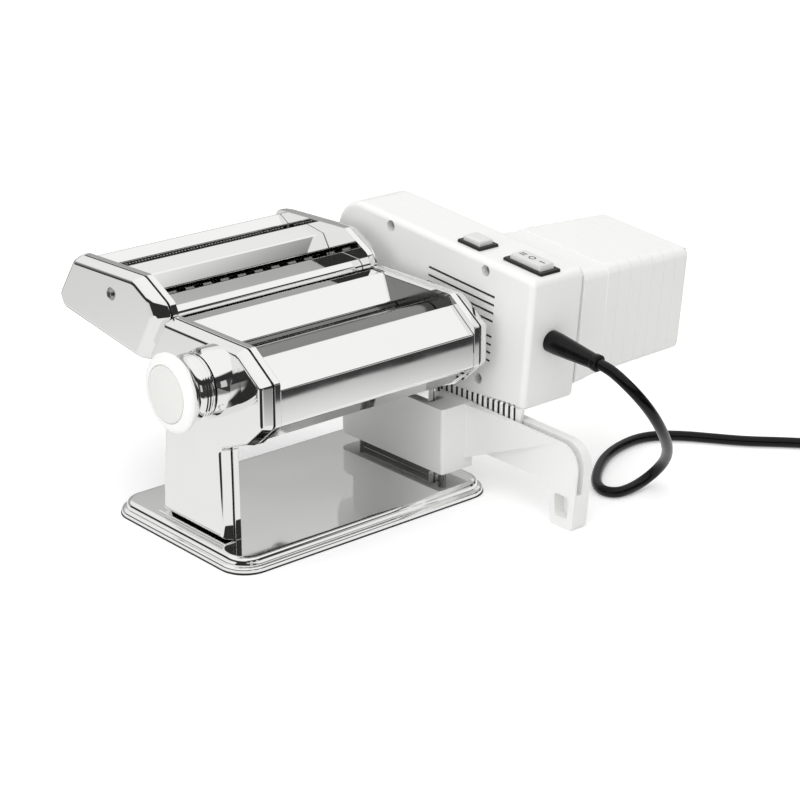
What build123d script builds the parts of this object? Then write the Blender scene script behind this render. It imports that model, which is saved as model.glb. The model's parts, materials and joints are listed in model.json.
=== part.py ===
from build123d import *
import math
import os

# Electric pasta maker: a roller machine on a pressed base, a two-width cutter head behind it,
# and a geared motor on the right that stands on a plastic support bracket.
# Millimetres. +Z is up, the origin is the centre of the underside, +X is the motor side,
# -X the thickness dial side, and +Y the cutter side.

# ---- the width of dough it rolls sets the width of the whole machine
ROLLER_LENGTH = 146.0

# ---- base
BASE_LENGTH = ROLLER_LENGTH + 45.0
BASE_WIDTH = 130.0
BASE_HEIGHT = 9.0
BASE_CORNER = 16.0
BASE_STEP = 3.4            # how far the upper tray stands in from the lower rim
BASE_RIM_HEIGHT = 4.0
BASE_RIM_ROUND = 1.6
BASE_TOP_ROUND = 2.4
BASE_LIFT = 0.5            # the steel clears the table, the pad carries it
PAD_THICKNESS = 2.0
PAD_STUD_RADIUS = 7.0
PAD_STUD_SPACING = 70.0

# ---- shared sheet metal and fits
SHEET = 1.2
HOOD_SHEET = 1.0
SEAM = 0.4                 # dark line between a side plate and its cover
FIT = 0.3                  # pieces that slot together or move past each other
RUN = 0.06                 # radial clearance of a turning fit

# ---- side plates and covers (outline in Y and Z)
WEB_X = ROLLER_LENGTH / 2 + 1.0   # inner face of each side plate
PLATE_DEPTH = 6.0          # web to the edge of its turned flange
COVER_DEPTH = 13.0
COVER_X = WEB_X + COVER_DEPTH     # outer face of each cover
COVER_DRAFT = 20.0
COVER_ROUND = 1.4
PANEL_TOP = 134.4
PANEL_SHOULDER = 118.8
PANEL_CHIN = 92.7
PANEL_JAW = 77.5
PANEL_FRONT = -78.7
PANEL_TOP_FRONT = -56.3
PANEL_JAW_FRONT = -61.8
PANEL_TOP_BACK = 17.5
PANEL_BACK = 34.0
PANEL_JAW_BACK = 19.5
PANEL_CORNER = 3.0
LEG_TOP = 67.5
LEG_FRONT_TOP = -37.0
LEG_FRONT_FOOT = -37.8
LEG_BACK_TOP = 18.8
LEG_BACK_FOOT = 27.0
TIE_RODS = ((-62.3, 106.0), (8.5, 110.0), (-21.2, 82.0))
TIE_ROD_RADIUS = 3.0

# ---- rollers, with the rear one on the drive axis
DRIVE_Y = -13.2
DRIVE_Z = 101.2
ROLLER_RADIUS = 12.7
JOURNAL_RADIUS = 6.5
JOURNAL_END = WEB_X + 8.0
NIP_GAP = 0.3
NIP_ANGLE = 155.0          # direction from the rear roller to the front one, from +Y
ADJUST_TRAVEL = 2.4        # how far half a turn of the dial opens the rollers
GEAR_TEETH = 13
GEAR_WIDTH = 4.4
CARRIER_PLATE = 1.8        # bearing plate that carries each end of the front roller
CARRIER_REACH = 19.0
ECCENTRIC_RADIUS = 5.2
ECCENTRIC_WIDTH = 1.8
YOKE_PLAY = 0.35

# ---- thickness dial
BOSS_FOOT_RADIUS = 21.2
BOSS_RADIUS = 19.5
BOSS_LENGTH = 15.2
DIAL_COLLAR_RADIUS = 20.4
DIAL_COLLAR_LENGTH = 16.0
DIAL_RING_RADIUS = 24.3
DIAL_RING_WIDTH = 5.5
DIAL_RING_RIM = 2.6        # how much of its width is the straight rim, before the dome
DIAL_CAP_RADIUS = 17.1
DIAL_CAP_RISE = 3.6
DIAL_CAP_EDGE = 1.6
DIAL_PULL = 4.0
SHAFT_RADIUS = 3.5
DIAL_BACK = COVER_X + BOSS_LENGTH + 0.5   # rear edge of the dial's collar, just off the boss
INDEX_HOLE = (-COVER_X - 11.6, -154.5, 1.9)   # place along X, direction from +Y, radius
INDEX_PIN = (-COVER_X - 13.6, 90.0, 1.5)
INDEX_PIN_RISE = 2.6
SOCKET = 6.6               # square drive socket in the rear roller
SOCKET_DEPTH = 9.0

# ---- hoods
HOOD_RIDGE = (-59.0, 128.0)
REAR_PLATE_BACK = (6.4, 132.7)
REAR_PLATE_FRONT = (-11.9, 120.1)

# ---- cutter head
CUTTER_RIM = ((113.0, 151.0), (44.0, 153.4), (21.8, 141.8), (18.0, 134.5),
              (40.5, 101.4), (127.0, 113.3), (132.3, 123.2))
CUTTER_FACE = ((111.9, 148.8), (47.0, 151.1), (32.9, 143.8), (26.9, 132.4),
               (44.5, 103.8), (125.4, 115.8), (129.4, 123.5))
CUTTER_CORNERS = (3.0, 4.0, 6.0, 2.5, 3.0, 3.0, 3.0)
GUIDE_PATH = ((103.0, 137.5), (103.0, 143.7), (111.9, 148.4), (129.6, 122.6), (125.0, 115.0))
BRIDGE_OFFSETS = ((29.3, 18.8), (29.3, 26.3), (11.8, 23.8), (6.4, 15.2), (6.4, 10.8))
APRON_OFFSETS = ((-6.1, 10.8), (-6.1, 15.1), (-24.4, 14.3), (-28.6, 10.3), (-13.6, -13.6))
CUTTER_ROLLER_RADIUS = 9.2
CUTTER_OVERLAP = 1.2       # how deep the discs of a pair reach into each other
CUTTER_LENGTH = ROLLER_LENGTH
WIDE_STRIP = 6.7
FINE_STRIP = 3.2
FINE_DEPTH = 1.6
FINE_PAIR = (93.0, 126.5)
WIDE_PAIR = (54.2, 121.2)
CUTTER_JOURNAL = 4.0
COMB_DROP = 6.0            # from the underside of the rollers down to the rail
COMB_FINGER = 4.6
COMB_THICKNESS = 1.6
COMB_RAIL = 2.0
COMB_TOOTH = 2.6
CUTTER_TEETH = 10
CUTTER_SCREW = (70.4, 137.4)

# ---- motor unit, drawn straight about the drive axis and then tilted nose down
MOTOR_TILT = 5.11
CASE_X = COVER_X + 10.5
CASE_SEAM = CASE_X + 22.0
CASE_DEPTH = 44.5
CASE_OUT = CASE_X + CASE_DEPTH
CASE_TOP = 55.5
CASE_FRONT = -87.0
CASE_BACK = 97.7
CASE_CHIN = -30.0
CASE_FALL = 0.1546         # how fast the underside drops towards the back
CASE_KEEL_BACK = 62.0
CASE_WALL = 2.5
CASE_ROUND = 4.0
SKIRT_DROP = 11.0
SKIRT_WIDTH = 2.2
RIB_PITCH = 4.2
RIB_COUNT = 20
RIB_SLOT = 1.9
VENT_LENGTH = 61.0
VENT_END = -55.0
VENT_WIDTH = 1.7
VENT_PITCH = 5.35
UPPER_VENTS = 34.3
LOWER_VENTS = 8.0
CASE_SCREWS = ((44.2, 49.5), (-45.2, 48.8), (-45.9, -22.9))
SCREW_WELL = 2.6
HOUSING_LENGTH = 87.0
HOUSING_END = CASE_OUT + HOUSING_LENGTH
HOUSING_BACK = -23.0
HOUSING_TOP = 52.0
HOUSING_FLOOR = -25.0
HOUSING_RISE = 12.0        # how much the floor has risen at the far end
HOUSING_STEPS = 9
HOUSING_STEP_IN = 0.45
HOUSING_CORNER = 7.0

# ---- gear train in the motor unit
MOTOR_AXIS = (-55.0, 16.0)
MOTOR_RADIUS = 24.0
MOTOR_LENGTH = 62.0
OUTPUT_TEETH = 45
IDLER_PINION_TEETH = 13
IDLER_TEETH = 48
MOTOR_PINION_TEETH = 12
TRAIN_MODULE = 1.0
OUTPUT_RADIUS = 5.0
WHEEL_X = CASE_OUT - 20.5  # where the idler's big wheel and the motor's pinion meet

# ---- switches on the motor unit
PULSE_CENTRE = (CASE_SEAM - 7.2, -21.4)
PULSE_BEZEL = (16.5, 21.0)
PULSE_CAP = (11.0, 15.0)
PULSE_TRAVEL = 2.5
ROCKER_CENTRE = (CASE_SEAM - 4.0, -66.3)
ROCKER_BEZEL = (17.0, 34.0)
ROCKER_CAP = (11.4, 27.0)
ROCKER_SWING = 10.0
BEZEL_RISE = 1.8
CAP_RISE = 5.0

# ---- support bracket
ARM_X = CASE_X - 8.0
ARM_OUT = CASE_X + 9.5
GROOVE_X = CASE_X - FIT
GROOVE_OUT = CASE_X + 4.3
GROOVE_FLOOR = 47.5
ARM_TOP = 58.0
ARM_BACK_TOP = 57.0
ARM_FRONT = -156.0
BLOCK_X = WEB_X - 3.5
BLOCK_FRONT = -54.0
BLOCK_BACK = 35.0
BLOCK_FOOT = 15.0
PIN_RADIUS = 2.5
PIN_INSET = 3.5            # from the block's back to the rear pin

# ---- cord
CORD_DIAMETER = 7.0
RELIEF_X = CASE_SEAM - 2.5
RELIEF_Z = 12.8
RELIEF_LENGTH = 41.0
RELIEF_RADIUS = 7.0
RELIEF_TIP_RADIUS = 4.8
COIL_CENTRE = (RELIEF_X + 252.3, -171.7)
COIL_MEAN_RADIUS = 38.5
PLUG_LENGTH = 32.0
PLUG_WIDTH = 26.0
PLUG_HEIGHT = 14.0
PLUG_ROUND = 3.0
PLUG_NECK_RADIUS = 4.2
PLUG_NECK_LENGTH = 9.0
PLUG_PIN_LENGTH = 17.0
PLUG_PIN_RADIUS = 2.0
PLUG_PIN_SPACING = 19.0
PLUG_PLACE = 354.3         # direction from the coil's middle to the plug's back
PLUG_TURN = 106.0          # how far its pins point round from that direction
CORD_ROUTE = (             # from the strain relief, X counted from it
    (0, -141.83, 102.55), (0, -161.4, 100.8), (5.6, -178.1, 84.0),
    (29.5, -171.5, 58.8), (62.2, -145.5, 35.6), (80.5, -125.6, 15.9),
    (66.2, -116.1, 3.5), (46.3, -123.3, 3.5), (34.0, -116.8, 3.5),
    (38.1, -103.6, 3.5), (58.1, -92.2, 3.5), (87.1, -79.5, 3.5),
    (116.2, -71.7, 3.5), (139.4, -87.8, 3.5), (163.5, -121.3, 3.5),
    (189.8, -148.2, 3.5), (204.5, -168.0, 3.5), (214.0, -189.0, 3.5),
)

# ---- worked out from the sizes above
FLANGE_X = WEB_X + PLATE_DEPTH
NIP_DIR = (math.cos(math.radians(NIP_ANGLE)), math.sin(math.radians(NIP_ANGLE)))
CENTRE_DISTANCE = 2 * ROLLER_RADIUS + NIP_GAP
FRONT_AXIS = (DRIVE_Y + NIP_DIR[0] * CENTRE_DISTANCE, DRIVE_Z + NIP_DIR[1] * CENTRE_DISTANCE)
REAR_AXIS = (DRIVE_Y, DRIVE_Z)
DIAL_AXIS = (FRONT_AXIS[0] + NIP_DIR[0] * ADJUST_TRAVEL / 2, FRONT_AXIS[1] + NIP_DIR[1] * ADJUST_TRAVEL / 2)
JOURNAL_BORE = SHAFT_RADIUS + ADJUST_TRAVEL / 2 + FIT
GEAR_FACE = JOURNAL_END - GEAR_WIDTH
YOKE_X = JOURNAL_END + 2 * FIT
DIAL_FACE = DIAL_BACK + DIAL_COLLAR_LENGTH + DIAL_RING_WIDTH
PAIR_DISTANCE = 2 * CUTTER_ROLLER_RADIUS - CUTTER_OVERLAP
MOTOR = Pos(0, DRIVE_Y, DRIVE_Z) * Rot(MOTOR_TILT, 0, 0)


# ---- drawing helpers
def outline(points, radii=0.0):
    """A closed flat shape with rounded corners, drawn in (y, z)."""
    return make_face(FilletPolyline(*points, radius=radii, close=True))


def across(face, x_from, x_to):
    """Carry a (y, z) shape along X."""
    return extrude(Plane.YZ.offset(x_from) * face, x_to - x_from)


def rod(centre, radius, x_from, x_to):
    """A round bar along X about the point (y, z)."""
    return across(Pos(*centre) * Circle(radius), x_from, x_to)


def turned(profile, centre):
    """Revolve an (x, radius) outline about the X axis through (y, z)."""
    face = make_face(Polyline(*profile, close=True))
    return Pos(0, *centre) * revolve(face, Axis.X)


def sheet(path, radii, thickness, x_from, x_to):
    """A folded strip of sheet metal: an open (y, z) path given a thickness, then carried along X."""
    line = FilletPolyline(*path, radius=radii)
    return across(trace(line, thickness), x_from, x_to)


def mirrored(shape):
    return mirror(shape, about=Plane.YZ)


def both_sides(shape):
    return Compound([mirrored(shape), shape])


def box(low, high):
    size = [high[i] - low[i] for i in range(3)]
    middle = [(high[i] + low[i]) / 2 for i in range(3)]
    return Pos(*middle) * Box(*size)


def gear(teeth, pitch_radius, addendum, dedendum, x_from, x_to, phase=0.0, fill=0.42):
    """A spur gear about the X axis at the origin, with straight-sided tapering teeth."""
    step = 2 * math.pi / teeth
    tip, root = pitch_radius + addendum, pitch_radius - dedendum
    points = []
    for tooth in range(teeth):
        middle = tooth * step + math.radians(phase)
        for radius, share in ((root, 1.45), (tip, 0.45), (tip, -0.45), (root, -1.45)):
            angle = middle - step * fill / 2 * share
            points.append((radius * math.cos(angle), radius * math.sin(angle)))
    return across(make_face(Polyline(*points, close=True)), x_from, x_to)


# ---- the base
def base_plate():
    tray_length = BASE_LENGTH - 2 * BASE_STEP
    tray_width = BASE_WIDTH - 2 * BASE_STEP
    tray_corner = BASE_CORNER - BASE_STEP
    rim = Pos(0, 0, BASE_LIFT) * extrude(
        RectangleRounded(BASE_LENGTH, BASE_WIDTH, BASE_CORNER), BASE_RIM_HEIGHT)
    rim = fillet(rim.edges().group_by(Axis.Z)[-1], BASE_RIM_ROUND)
    tray = Pos(0, 0, BASE_LIFT) * extrude(
        RectangleRounded(tray_length, tray_width, tray_corner), BASE_HEIGHT - BASE_LIFT)
    tray = fillet(tray.edges().group_by(Axis.Z)[-1], BASE_TOP_ROUND)
    hollow = extrude(
        RectangleRounded(tray_length - 2 * SHEET, tray_width - 2 * SHEET, tray_corner - SHEET),
        BASE_HEIGHT - SHEET)
    return rim + tray - hollow


def base_pad():
    length = BASE_LENGTH - 2 * (BASE_STEP + SHEET + FIT)
    width = BASE_WIDTH - 2 * (BASE_STEP + SHEET + FIT)
    pad = extrude(RectangleRounded(length, width, BASE_CORNER - BASE_STEP - SHEET - FIT), PAD_THICKNESS)
    for place in GridLocations(PAD_STUD_SPACING, width - 4 * PAD_STUD_RADIUS, 3, 2):
        pad += place * extrude(Circle(PAD_STUD_RADIUS), BASE_HEIGHT - SHEET)
    return pad


# ---- the machine's two sides
def panel_outline():
    """Eight-sided head on a leg, shared by the side plates and their covers."""
    foot = BASE_HEIGHT
    points = (
        (PANEL_TOP_FRONT, PANEL_TOP), (PANEL_FRONT, PANEL_SHOULDER), (PANEL_FRONT, PANEL_CHIN),
        (PANEL_JAW_FRONT, PANEL_JAW), (LEG_FRONT_TOP, LEG_TOP), (LEG_FRONT_FOOT, foot),
        (LEG_BACK_FOOT, foot), (LEG_BACK_TOP, LEG_TOP), (PANEL_JAW_BACK, PANEL_JAW),
        (PANEL_BACK, PANEL_CHIN), (PANEL_BACK, PANEL_SHOULDER - 9.0), (PANEL_TOP_BACK, PANEL_TOP),
    )
    corner = PANEL_CORNER
    radii = (corner, corner, corner, corner, corner, 0, 0, corner, corner, corner, corner, corner)
    return outline(points, radii)


def pan(face, holes):
    """A side plate: a flat web with its edge turned outwards."""
    web_face = WEB_X + SHEET
    shell = across(face, WEB_X, FLANGE_X) - across(offset(face, -SHEET), web_face, FLANGE_X)
    return shell - holes


def pressed_cover(rim, face):
    """A drafted pressed cover over a pan, open towards it."""
    rim_x = FLANGE_X + SEAM
    outer = loft([Plane.YZ.offset(rim_x) * rim, Plane.YZ.offset(COVER_X) * face], ruled=True)
    outer = fillet(outer.edges().group_by(Axis.X)[-1], COVER_ROUND)
    inner = loft([Plane.YZ.offset(rim_x) * offset(rim, -SHEET),
                  Plane.YZ.offset(COVER_X - SHEET) * offset(face, -SHEET)], ruled=True)
    return outer - inner


def side_plate():
    bush = rod(REAR_AXIS, JOURNAL_RADIUS + SHEET + RUN, WEB_X, FLANGE_X)
    slot_end = (FRONT_AXIS[0] + NIP_DIR[0] * ADJUST_TRAVEL, FRONT_AXIS[1] + NIP_DIR[1] * ADJUST_TRAVEL)
    slot = rod(FRONT_AXIS, JOURNAL_RADIUS + FIT, WEB_X, FLANGE_X)
    slot += rod(slot_end, JOURNAL_RADIUS + FIT, WEB_X, FLANGE_X)
    return pan(panel_outline(), bush + slot)


def side_cover(holes):
    rim = panel_outline()
    face = offset(rim, -(COVER_X - FLANGE_X - SEAM) * math.tan(math.radians(COVER_DRAFT)))
    foot_gap = box((FLANGE_X, LEG_FRONT_FOOT - BASE_STEP, 0),
                   (COVER_X + SEAM, LEG_BACK_FOOT + BASE_STEP, BASE_HEIGHT + SEAM))
    return pressed_cover(rim, face) - holes - foot_gap


def tie_rods():
    return Compound([rod(centre, TIE_ROD_RADIUS, -WEB_X, WEB_X) for centre in TIE_RODS])


def roller_bushes():
    """Flanged plain bearings in the side plates for the rear roller."""
    inner, outer = JOURNAL_RADIUS + RUN, JOURNAL_RADIUS + SHEET
    profile = ((WEB_X - 0.8, inner), (WEB_X - 0.8, outer + 2.0), (WEB_X, outer + 2.0),
               (WEB_X, outer), (WEB_X + SHEET + 0.4, outer), (WEB_X + SHEET + 0.4, inner))
    return both_sides(turned(profile, REAR_AXIS))


def hoods():
    """Front and rear covers over the rollers, folded from thin sheet between the side plates."""
    end = WEB_X - FIT
    front = sheet(((HOOD_RIDGE[0] + 3.4, HOOD_RIDGE[1] - 3.2), HOOD_RIDGE,
                   (PANEL_FRONT + 0.9, PANEL_SHOULDER - 5.0), (PANEL_FRONT + 0.9, PANEL_CHIN),
                   (PANEL_JAW_FRONT + 1.0, PANEL_JAW + 1.5), (PANEL_JAW_FRONT + 14.0, PANEL_JAW - 1.0)),
                  (1.2, 1.6, 3.0, 3.0), HOOD_SHEET, -end, end)
    rear = sheet(((REAR_PLATE_FRONT[0] + 1.6, REAR_PLATE_FRONT[1] - 3.6), REAR_PLATE_FRONT, REAR_PLATE_BACK,
                  (PANEL_TOP_BACK - 2.0, PANEL_TOP - 1.6), (PANEL_BACK - 2.6, PANEL_SHOULDER - 10.5),
                  (PANEL_BACK - 2.6, PANEL_CHIN + 1.0), (PANEL_JAW_BACK - 1.0, PANEL_JAW + 1.5)),
                 (1.2, 1.2, 1.6, 3.0, 3.0), HOOD_SHEET, -end, end)
    return front, rear


def scraper(axis, side, reach):
    """A blade under a roller that lifts the dough off, on a folded foot."""
    gap = ROLLER_RADIUS + FIT
    edge = (axis[0] + side * reach, axis[1] - gap - 0.4)
    heel = (edge[0] + side * 6.0, edge[1] - 4.0)
    return sheet((edge, heel, (heel[0] + side * 1.0, heel[1] - 7.0)), (1.0,), 0.8, -WEB_X, WEB_X)


# ---- rollers and the gears behind the left cover
def front_roller():
    """A hollow steel roller: the dial's shaft passes through it from side to side."""
    half = ROLLER_LENGTH / 2
    profile = ((-JOURNAL_END, JOURNAL_BORE), (-JOURNAL_END, JOURNAL_RADIUS), (-half, JOURNAL_RADIUS),
               (-half, ROLLER_RADIUS), (half, ROLLER_RADIUS), (half, JOURNAL_RADIUS),
               (JOURNAL_END, JOURNAL_RADIUS), (JOURNAL_END, JOURNAL_BORE))
    return turned(profile, FRONT_AXIS)


def rear_roller():
    """The driven roller: its right journal has a square socket for the motor's shaft."""
    half = ROLLER_LENGTH / 2
    body = rod(REAR_AXIS, ROLLER_RADIUS, -half, half)
    body += rod(REAR_AXIS, JOURNAL_RADIUS, -JOURNAL_END, JOURNAL_END)
    return body - across(Pos(*REAR_AXIS) * Rectangle(SOCKET, SOCKET), JOURNAL_END - SOCKET_DEPTH, COVER_X)


def roller_gear(axis, phase):
    wheel = gear(GEAR_TEETH, CENTRE_DISTANCE / 2, 1.9, 2.4, -JOURNAL_END, -GEAR_FACE, phase)
    return Pos(0, *axis) * wheel - rod(axis, JOURNAL_RADIUS, -COVER_X, -WEB_X)


# ---- thickness adjustment: an eccentric at each end shifts the front roller's bearing plates
def roller_carriers():
    """Each end of the front roller: a bearing plate, a post past the gear and a slotted yoke."""
    plate_x = WEB_X + SHEET + FIT
    turn = Rot(0, 0, NIP_ANGLE)
    near = Pos(*FRONT_AXIS) * turn * (Circle(JOURNAL_RADIUS + 3.5) + Pos(CARRIER_REACH / 2, 0) * Rectangle(
        CARRIER_REACH, 2 * JOURNAL_RADIUS))
    plate = across(near, plate_x, plate_x + CARRIER_PLATE)
    plate -= rod(FRONT_AXIS, JOURNAL_RADIUS + RUN, WEB_X, COVER_X)
    post = Pos(*FRONT_AXIS) * turn * Pos(CARRIER_REACH - 1.25, 0) * Rectangle(2.5, 2 * JOURNAL_RADIUS)
    half_slot = ECCENTRIC_RADIUS + YOKE_PLAY
    slot = Pos(*DIAL_AXIS) * turn * Pos(-ADJUST_TRAVEL / 2, 0) * Rectangle(
        2 * half_slot, 2 * (ECCENTRIC_RADIUS + ADJUST_TRAVEL / 2 + FIT))
    yoke = Pos(*FRONT_AXIS) * turn * Pos(CARRIER_REACH / 2 - 4.5, 0) * Rectangle(
        CARRIER_REACH + 9.0, 2 * (ECCENTRIC_RADIUS + ADJUST_TRAVEL))
    block = plate + across(post, plate_x, YOKE_X + ECCENTRIC_WIDTH)
    block += across(yoke - slot, YOKE_X, YOKE_X + ECCENTRIC_WIDTH)
    return both_sides(block)


def adjuster_shaft():
    """The dial's shaft, right through the hollow roller, with an eccentric disc at each end."""
    end = YOKE_X + ECCENTRIC_WIDTH
    middle = (DIAL_AXIS[0] - NIP_DIR[0] * ADJUST_TRAVEL / 2, DIAL_AXIS[1] - NIP_DIR[1] * ADJUST_TRAVEL / 2)
    shaft = rod(DIAL_AXIS, SHAFT_RADIUS, -DIAL_FACE + 4.0, end)
    for side in (-1, 1):
        shaft += rod(middle, ECCENTRIC_RADIUS, side * end, side * YOKE_X)
    return shaft


# ---- the thickness dial, from the panel outwards
def boss_bar(x, direction, radius):
    """A round bar that stands out of the boss's flank, as a pin or as the cutter of a hole."""
    length = BOSS_RADIUS / 2 + INDEX_PIN_RISE
    place = Pos(x, *DIAL_AXIS) * Rot(direction, 0, 0) * Pos(0, BOSS_RADIUS / 2, 0) * Rot(-90, 0, 0)
    return place * extrude(Circle(radius), length)


def dial_boss():
    """A chrome dome fixed on the left cover, with an index hole and a pointer pin in its flank."""
    foot, neck, bore = -COVER_X, -COVER_X - BOSS_LENGTH, SHAFT_RADIUS + RUN
    flank = ThreePointArc((foot, BOSS_FOOT_RADIUS), (foot - 0.56 * BOSS_LENGTH, BOSS_FOOT_RADIUS - 0.3),
                          (neck, BOSS_RADIUS))
    rest = Polyline((neck, BOSS_RADIUS), (neck, bore), (foot, bore), (foot, BOSS_FOOT_RADIUS))
    dome = Pos(0, *DIAL_AXIS) * revolve(make_face(flank + rest), Axis.X)
    return dome - boss_bar(*INDEX_HOLE) - boss_bar(*INDEX_PIN)


def dial_collar():
    """The grooved grip of the dial, which turns the shaft and pulls out to change the setting."""
    back, front = -DIAL_BACK, -DIAL_BACK - DIAL_COLLAR_LENGTH
    radius, groove = DIAL_COLLAR_RADIUS, DIAL_COLLAR_RADIUS - 1.2
    bore = SHAFT_RADIUS + RUN
    profile = ((back, bore), (back, BOSS_RADIUS - 0.4), (back - 1.2, radius), (back - 3.6, radius),
               (back - 4.4, groove), (back - 5.4, groove), (back - 6.0, radius - 0.3),
               (back - 7.2, radius - 0.3), (back - 7.8, groove), (back - 8.8, groove),
               (back - 9.6, radius - 0.1), (front + 1.0, radius + 1.2), (front, radius + 1.6), (front, bore))
    return turned(profile, DIAL_AXIS)


def dial_ring():
    """The white ring at the dial's rim: a straight rim, a dome, and the cap's seat."""
    back = -DIAL_BACK - DIAL_COLLAR_LENGTH
    front, rim = back - DIAL_RING_WIDTH, back - DIAL_RING_RIM
    seat, bore = DIAL_CAP_RADIUS + SEAM / 2, SHAFT_RADIUS + RUN
    rise, run = rim - front, DIAL_RING_RADIUS - seat
    shoulder = (front + 0.3 * rise, DIAL_RING_RADIUS - 0.38 * run)
    dome = ThreePointArc((rim, DIAL_RING_RADIUS), shoulder, (front, seat))
    rest = Polyline((front, seat), (front + 1.4, seat), (front + 1.4, bore), (back, bore),
                    (back, DIAL_RING_RADIUS - 0.6), (back - 0.8, DIAL_RING_RADIUS), (rim, DIAL_RING_RADIUS))
    return Pos(0, *DIAL_AXIS) * revolve(make_face(dome + rest), Axis.X)


def dial_cap():
    """The shallow dome pressed into the middle of the ring."""
    seat = -DIAL_FACE + 1.4
    crown = DIAL_CAP_RISE - DIAL_CAP_EDGE
    sphere = (DIAL_CAP_RADIUS ** 2 + crown ** 2) / (2 * crown)
    disc = rod(DIAL_AXIS, DIAL_CAP_RADIUS, seat - DIAL_CAP_RISE - 1.0, seat)
    return disc & Pos(seat - DIAL_CAP_RISE + sphere, *DIAL_AXIS) * Sphere(sphere)


def index_pin():
    """The pin on top of the boss that points at the dial's setting."""
    return boss_bar(*INDEX_PIN)


# ---- the cutter head
def cutter_pan():
    """Its side plate, with bearing holes for both roller pairs."""
    holes = Compound([rod(axis, CUTTER_JOURNAL + RUN, WEB_X, FLANGE_X) for axis in cutter_axes()])
    return pan(outline(CUTTER_RIM, CUTTER_CORNERS), holes)


def cutter_cap():
    cover = pressed_cover(outline(CUTTER_RIM, CUTTER_CORNERS), outline(CUTTER_FACE, CUTTER_CORNERS))
    return cover - rod(CUTTER_SCREW, 2.2, WEB_X, COVER_X + 1)


def cutter_screws():
    """A dished screw through each cap into a post on the plate behind it."""
    x, radius = COVER_X, 4.2
    profile = ((x, 0), (x + 1.9, 0), (x + 1.6, radius * 0.6), (x, radius))
    head = turned(profile, CUTTER_SCREW) + rod(CUTTER_SCREW, 2.0, WEB_X + SHEET, x)
    slot = Pos(x + 1.9, *CUTTER_SCREW) * Rot(45, 0, 0)
    return both_sides(head - slot * Box(2.0, 4.4, 0.9) - slot * Box(2.0, 0.9, 4.4))


def cutter_axes():
    half = PAIR_DISTANCE / 2
    return [(WIDE_PAIR[0] - half, WIDE_PAIR[1]), (WIDE_PAIR[0] + half, WIDE_PAIR[1]),
            (FINE_PAIR[0] - half, FINE_PAIR[1]), (FINE_PAIR[0] + half, FINE_PAIR[1])]


def beside(pair, offsets):
    """Places that keep their distance from the middle of a pair of rollers."""
    return tuple((pair[0] + y, pair[1] + z) for y, z in offsets)


def cutter_sheets():
    """The folded plates between the caps: rear guide, bridge between the slots, and apron."""
    end = WEB_X - FIT
    guide = sheet(GUIDE_PATH, (1.2, 2.0, 2.0), HOOD_SHEET, -end, end)
    bridge = sheet(beside(WIDE_PAIR, BRIDGE_OFFSETS), (1.2, 1.2, 1.2), HOOD_SHEET, -end, end)
    apron = sheet(beside(WIDE_PAIR, APRON_OFFSETS), (1.0, 2.0, 4.0), HOOD_SHEET, -end, end)
    return guide, bridge, apron


def comb(centre, pitch, width):
    """A rail with a row of fingers that clear the strips from under a pair of cutter rollers."""
    top = centre[1] - CUTTER_ROLLER_RADIUS - COMB_DROP
    fingers = box((-CUTTER_LENGTH / 2, centre[0] - COMB_THICKNESS / 2, top),
                  (CUTTER_LENGTH / 2, centre[0] + COMB_THICKNESS / 2, top + COMB_FINGER))
    gap = box((width / 2, centre[0] - COMB_THICKNESS, top + COMB_THICKNESS),
              (pitch - width / 2, centre[0] + COMB_THICKNESS, top + 2 * COMB_FINGER))
    count = int(CUTTER_LENGTH / pitch)
    fingers -= Compound([Pos((step - count / 2) * pitch, 0, 0) * gap for step in range(count)])
    rail = box((-WEB_X, centre[0] - COMB_THICKNESS, top - COMB_RAIL),
               (WEB_X, centre[0] + COMB_THICKNESS, top))
    return rail + fingers


def journals_and_gear(axis, phase):
    """Journals through the bearing holes, with the gear that couples the pair on the left one."""
    half = CUTTER_LENGTH / 2
    shaft = rod(axis, CUTTER_JOURNAL, -JOURNAL_END, JOURNAL_END)
    shaft -= rod(axis, CUTTER_JOURNAL + 1, -half, half)
    wheel = gear(CUTTER_TEETH, PAIR_DISTANCE / 2, 1.45, 1.95, -JOURNAL_END, -GEAR_FACE, phase)
    return shaft + Pos(0, *axis) * wheel


def wide_roller(axis, first, phase):
    """Discs a strip wide, with gaps a little wider for the discs of the other roller."""
    half, core = CUTTER_LENGTH / 2, CUTTER_ROLLER_RADIUS - CUTTER_OVERLAP - 1.0
    profile = [(-half, 0), (-half, core)]
    start = -half + first
    while start + WIDE_STRIP < half:
        low, high = start + FIT / 2, start + WIDE_STRIP - FIT / 2
        profile += [(low, core), (low, CUTTER_ROLLER_RADIUS), (high, CUTTER_ROLLER_RADIUS), (high, core)]
        start += 2 * WIDE_STRIP
    profile += [(half, core), (half, 0)]
    return turned(profile, axis) + journals_and_gear(axis, phase)


def fine_roller(axis, first, phase):
    """Sharp ridges a fine strip apart, each running in the other roller's groove."""
    half, root = CUTTER_LENGTH / 2, CUTTER_ROLLER_RADIUS - FINE_DEPTH
    profile = [(-half, 0), (-half, root - 0.1)]
    ridge = -half + first
    while ridge + FINE_STRIP / 2 < half:
        profile += [(ridge - FINE_STRIP / 2, root), (ridge, CUTTER_ROLLER_RADIUS)]
        ridge += FINE_STRIP
    profile += [(ridge - FINE_STRIP / 2, root), (half, root - 0.1), (half, 0)]
    return turned(profile, axis) + journals_and_gear(axis, phase)


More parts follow.
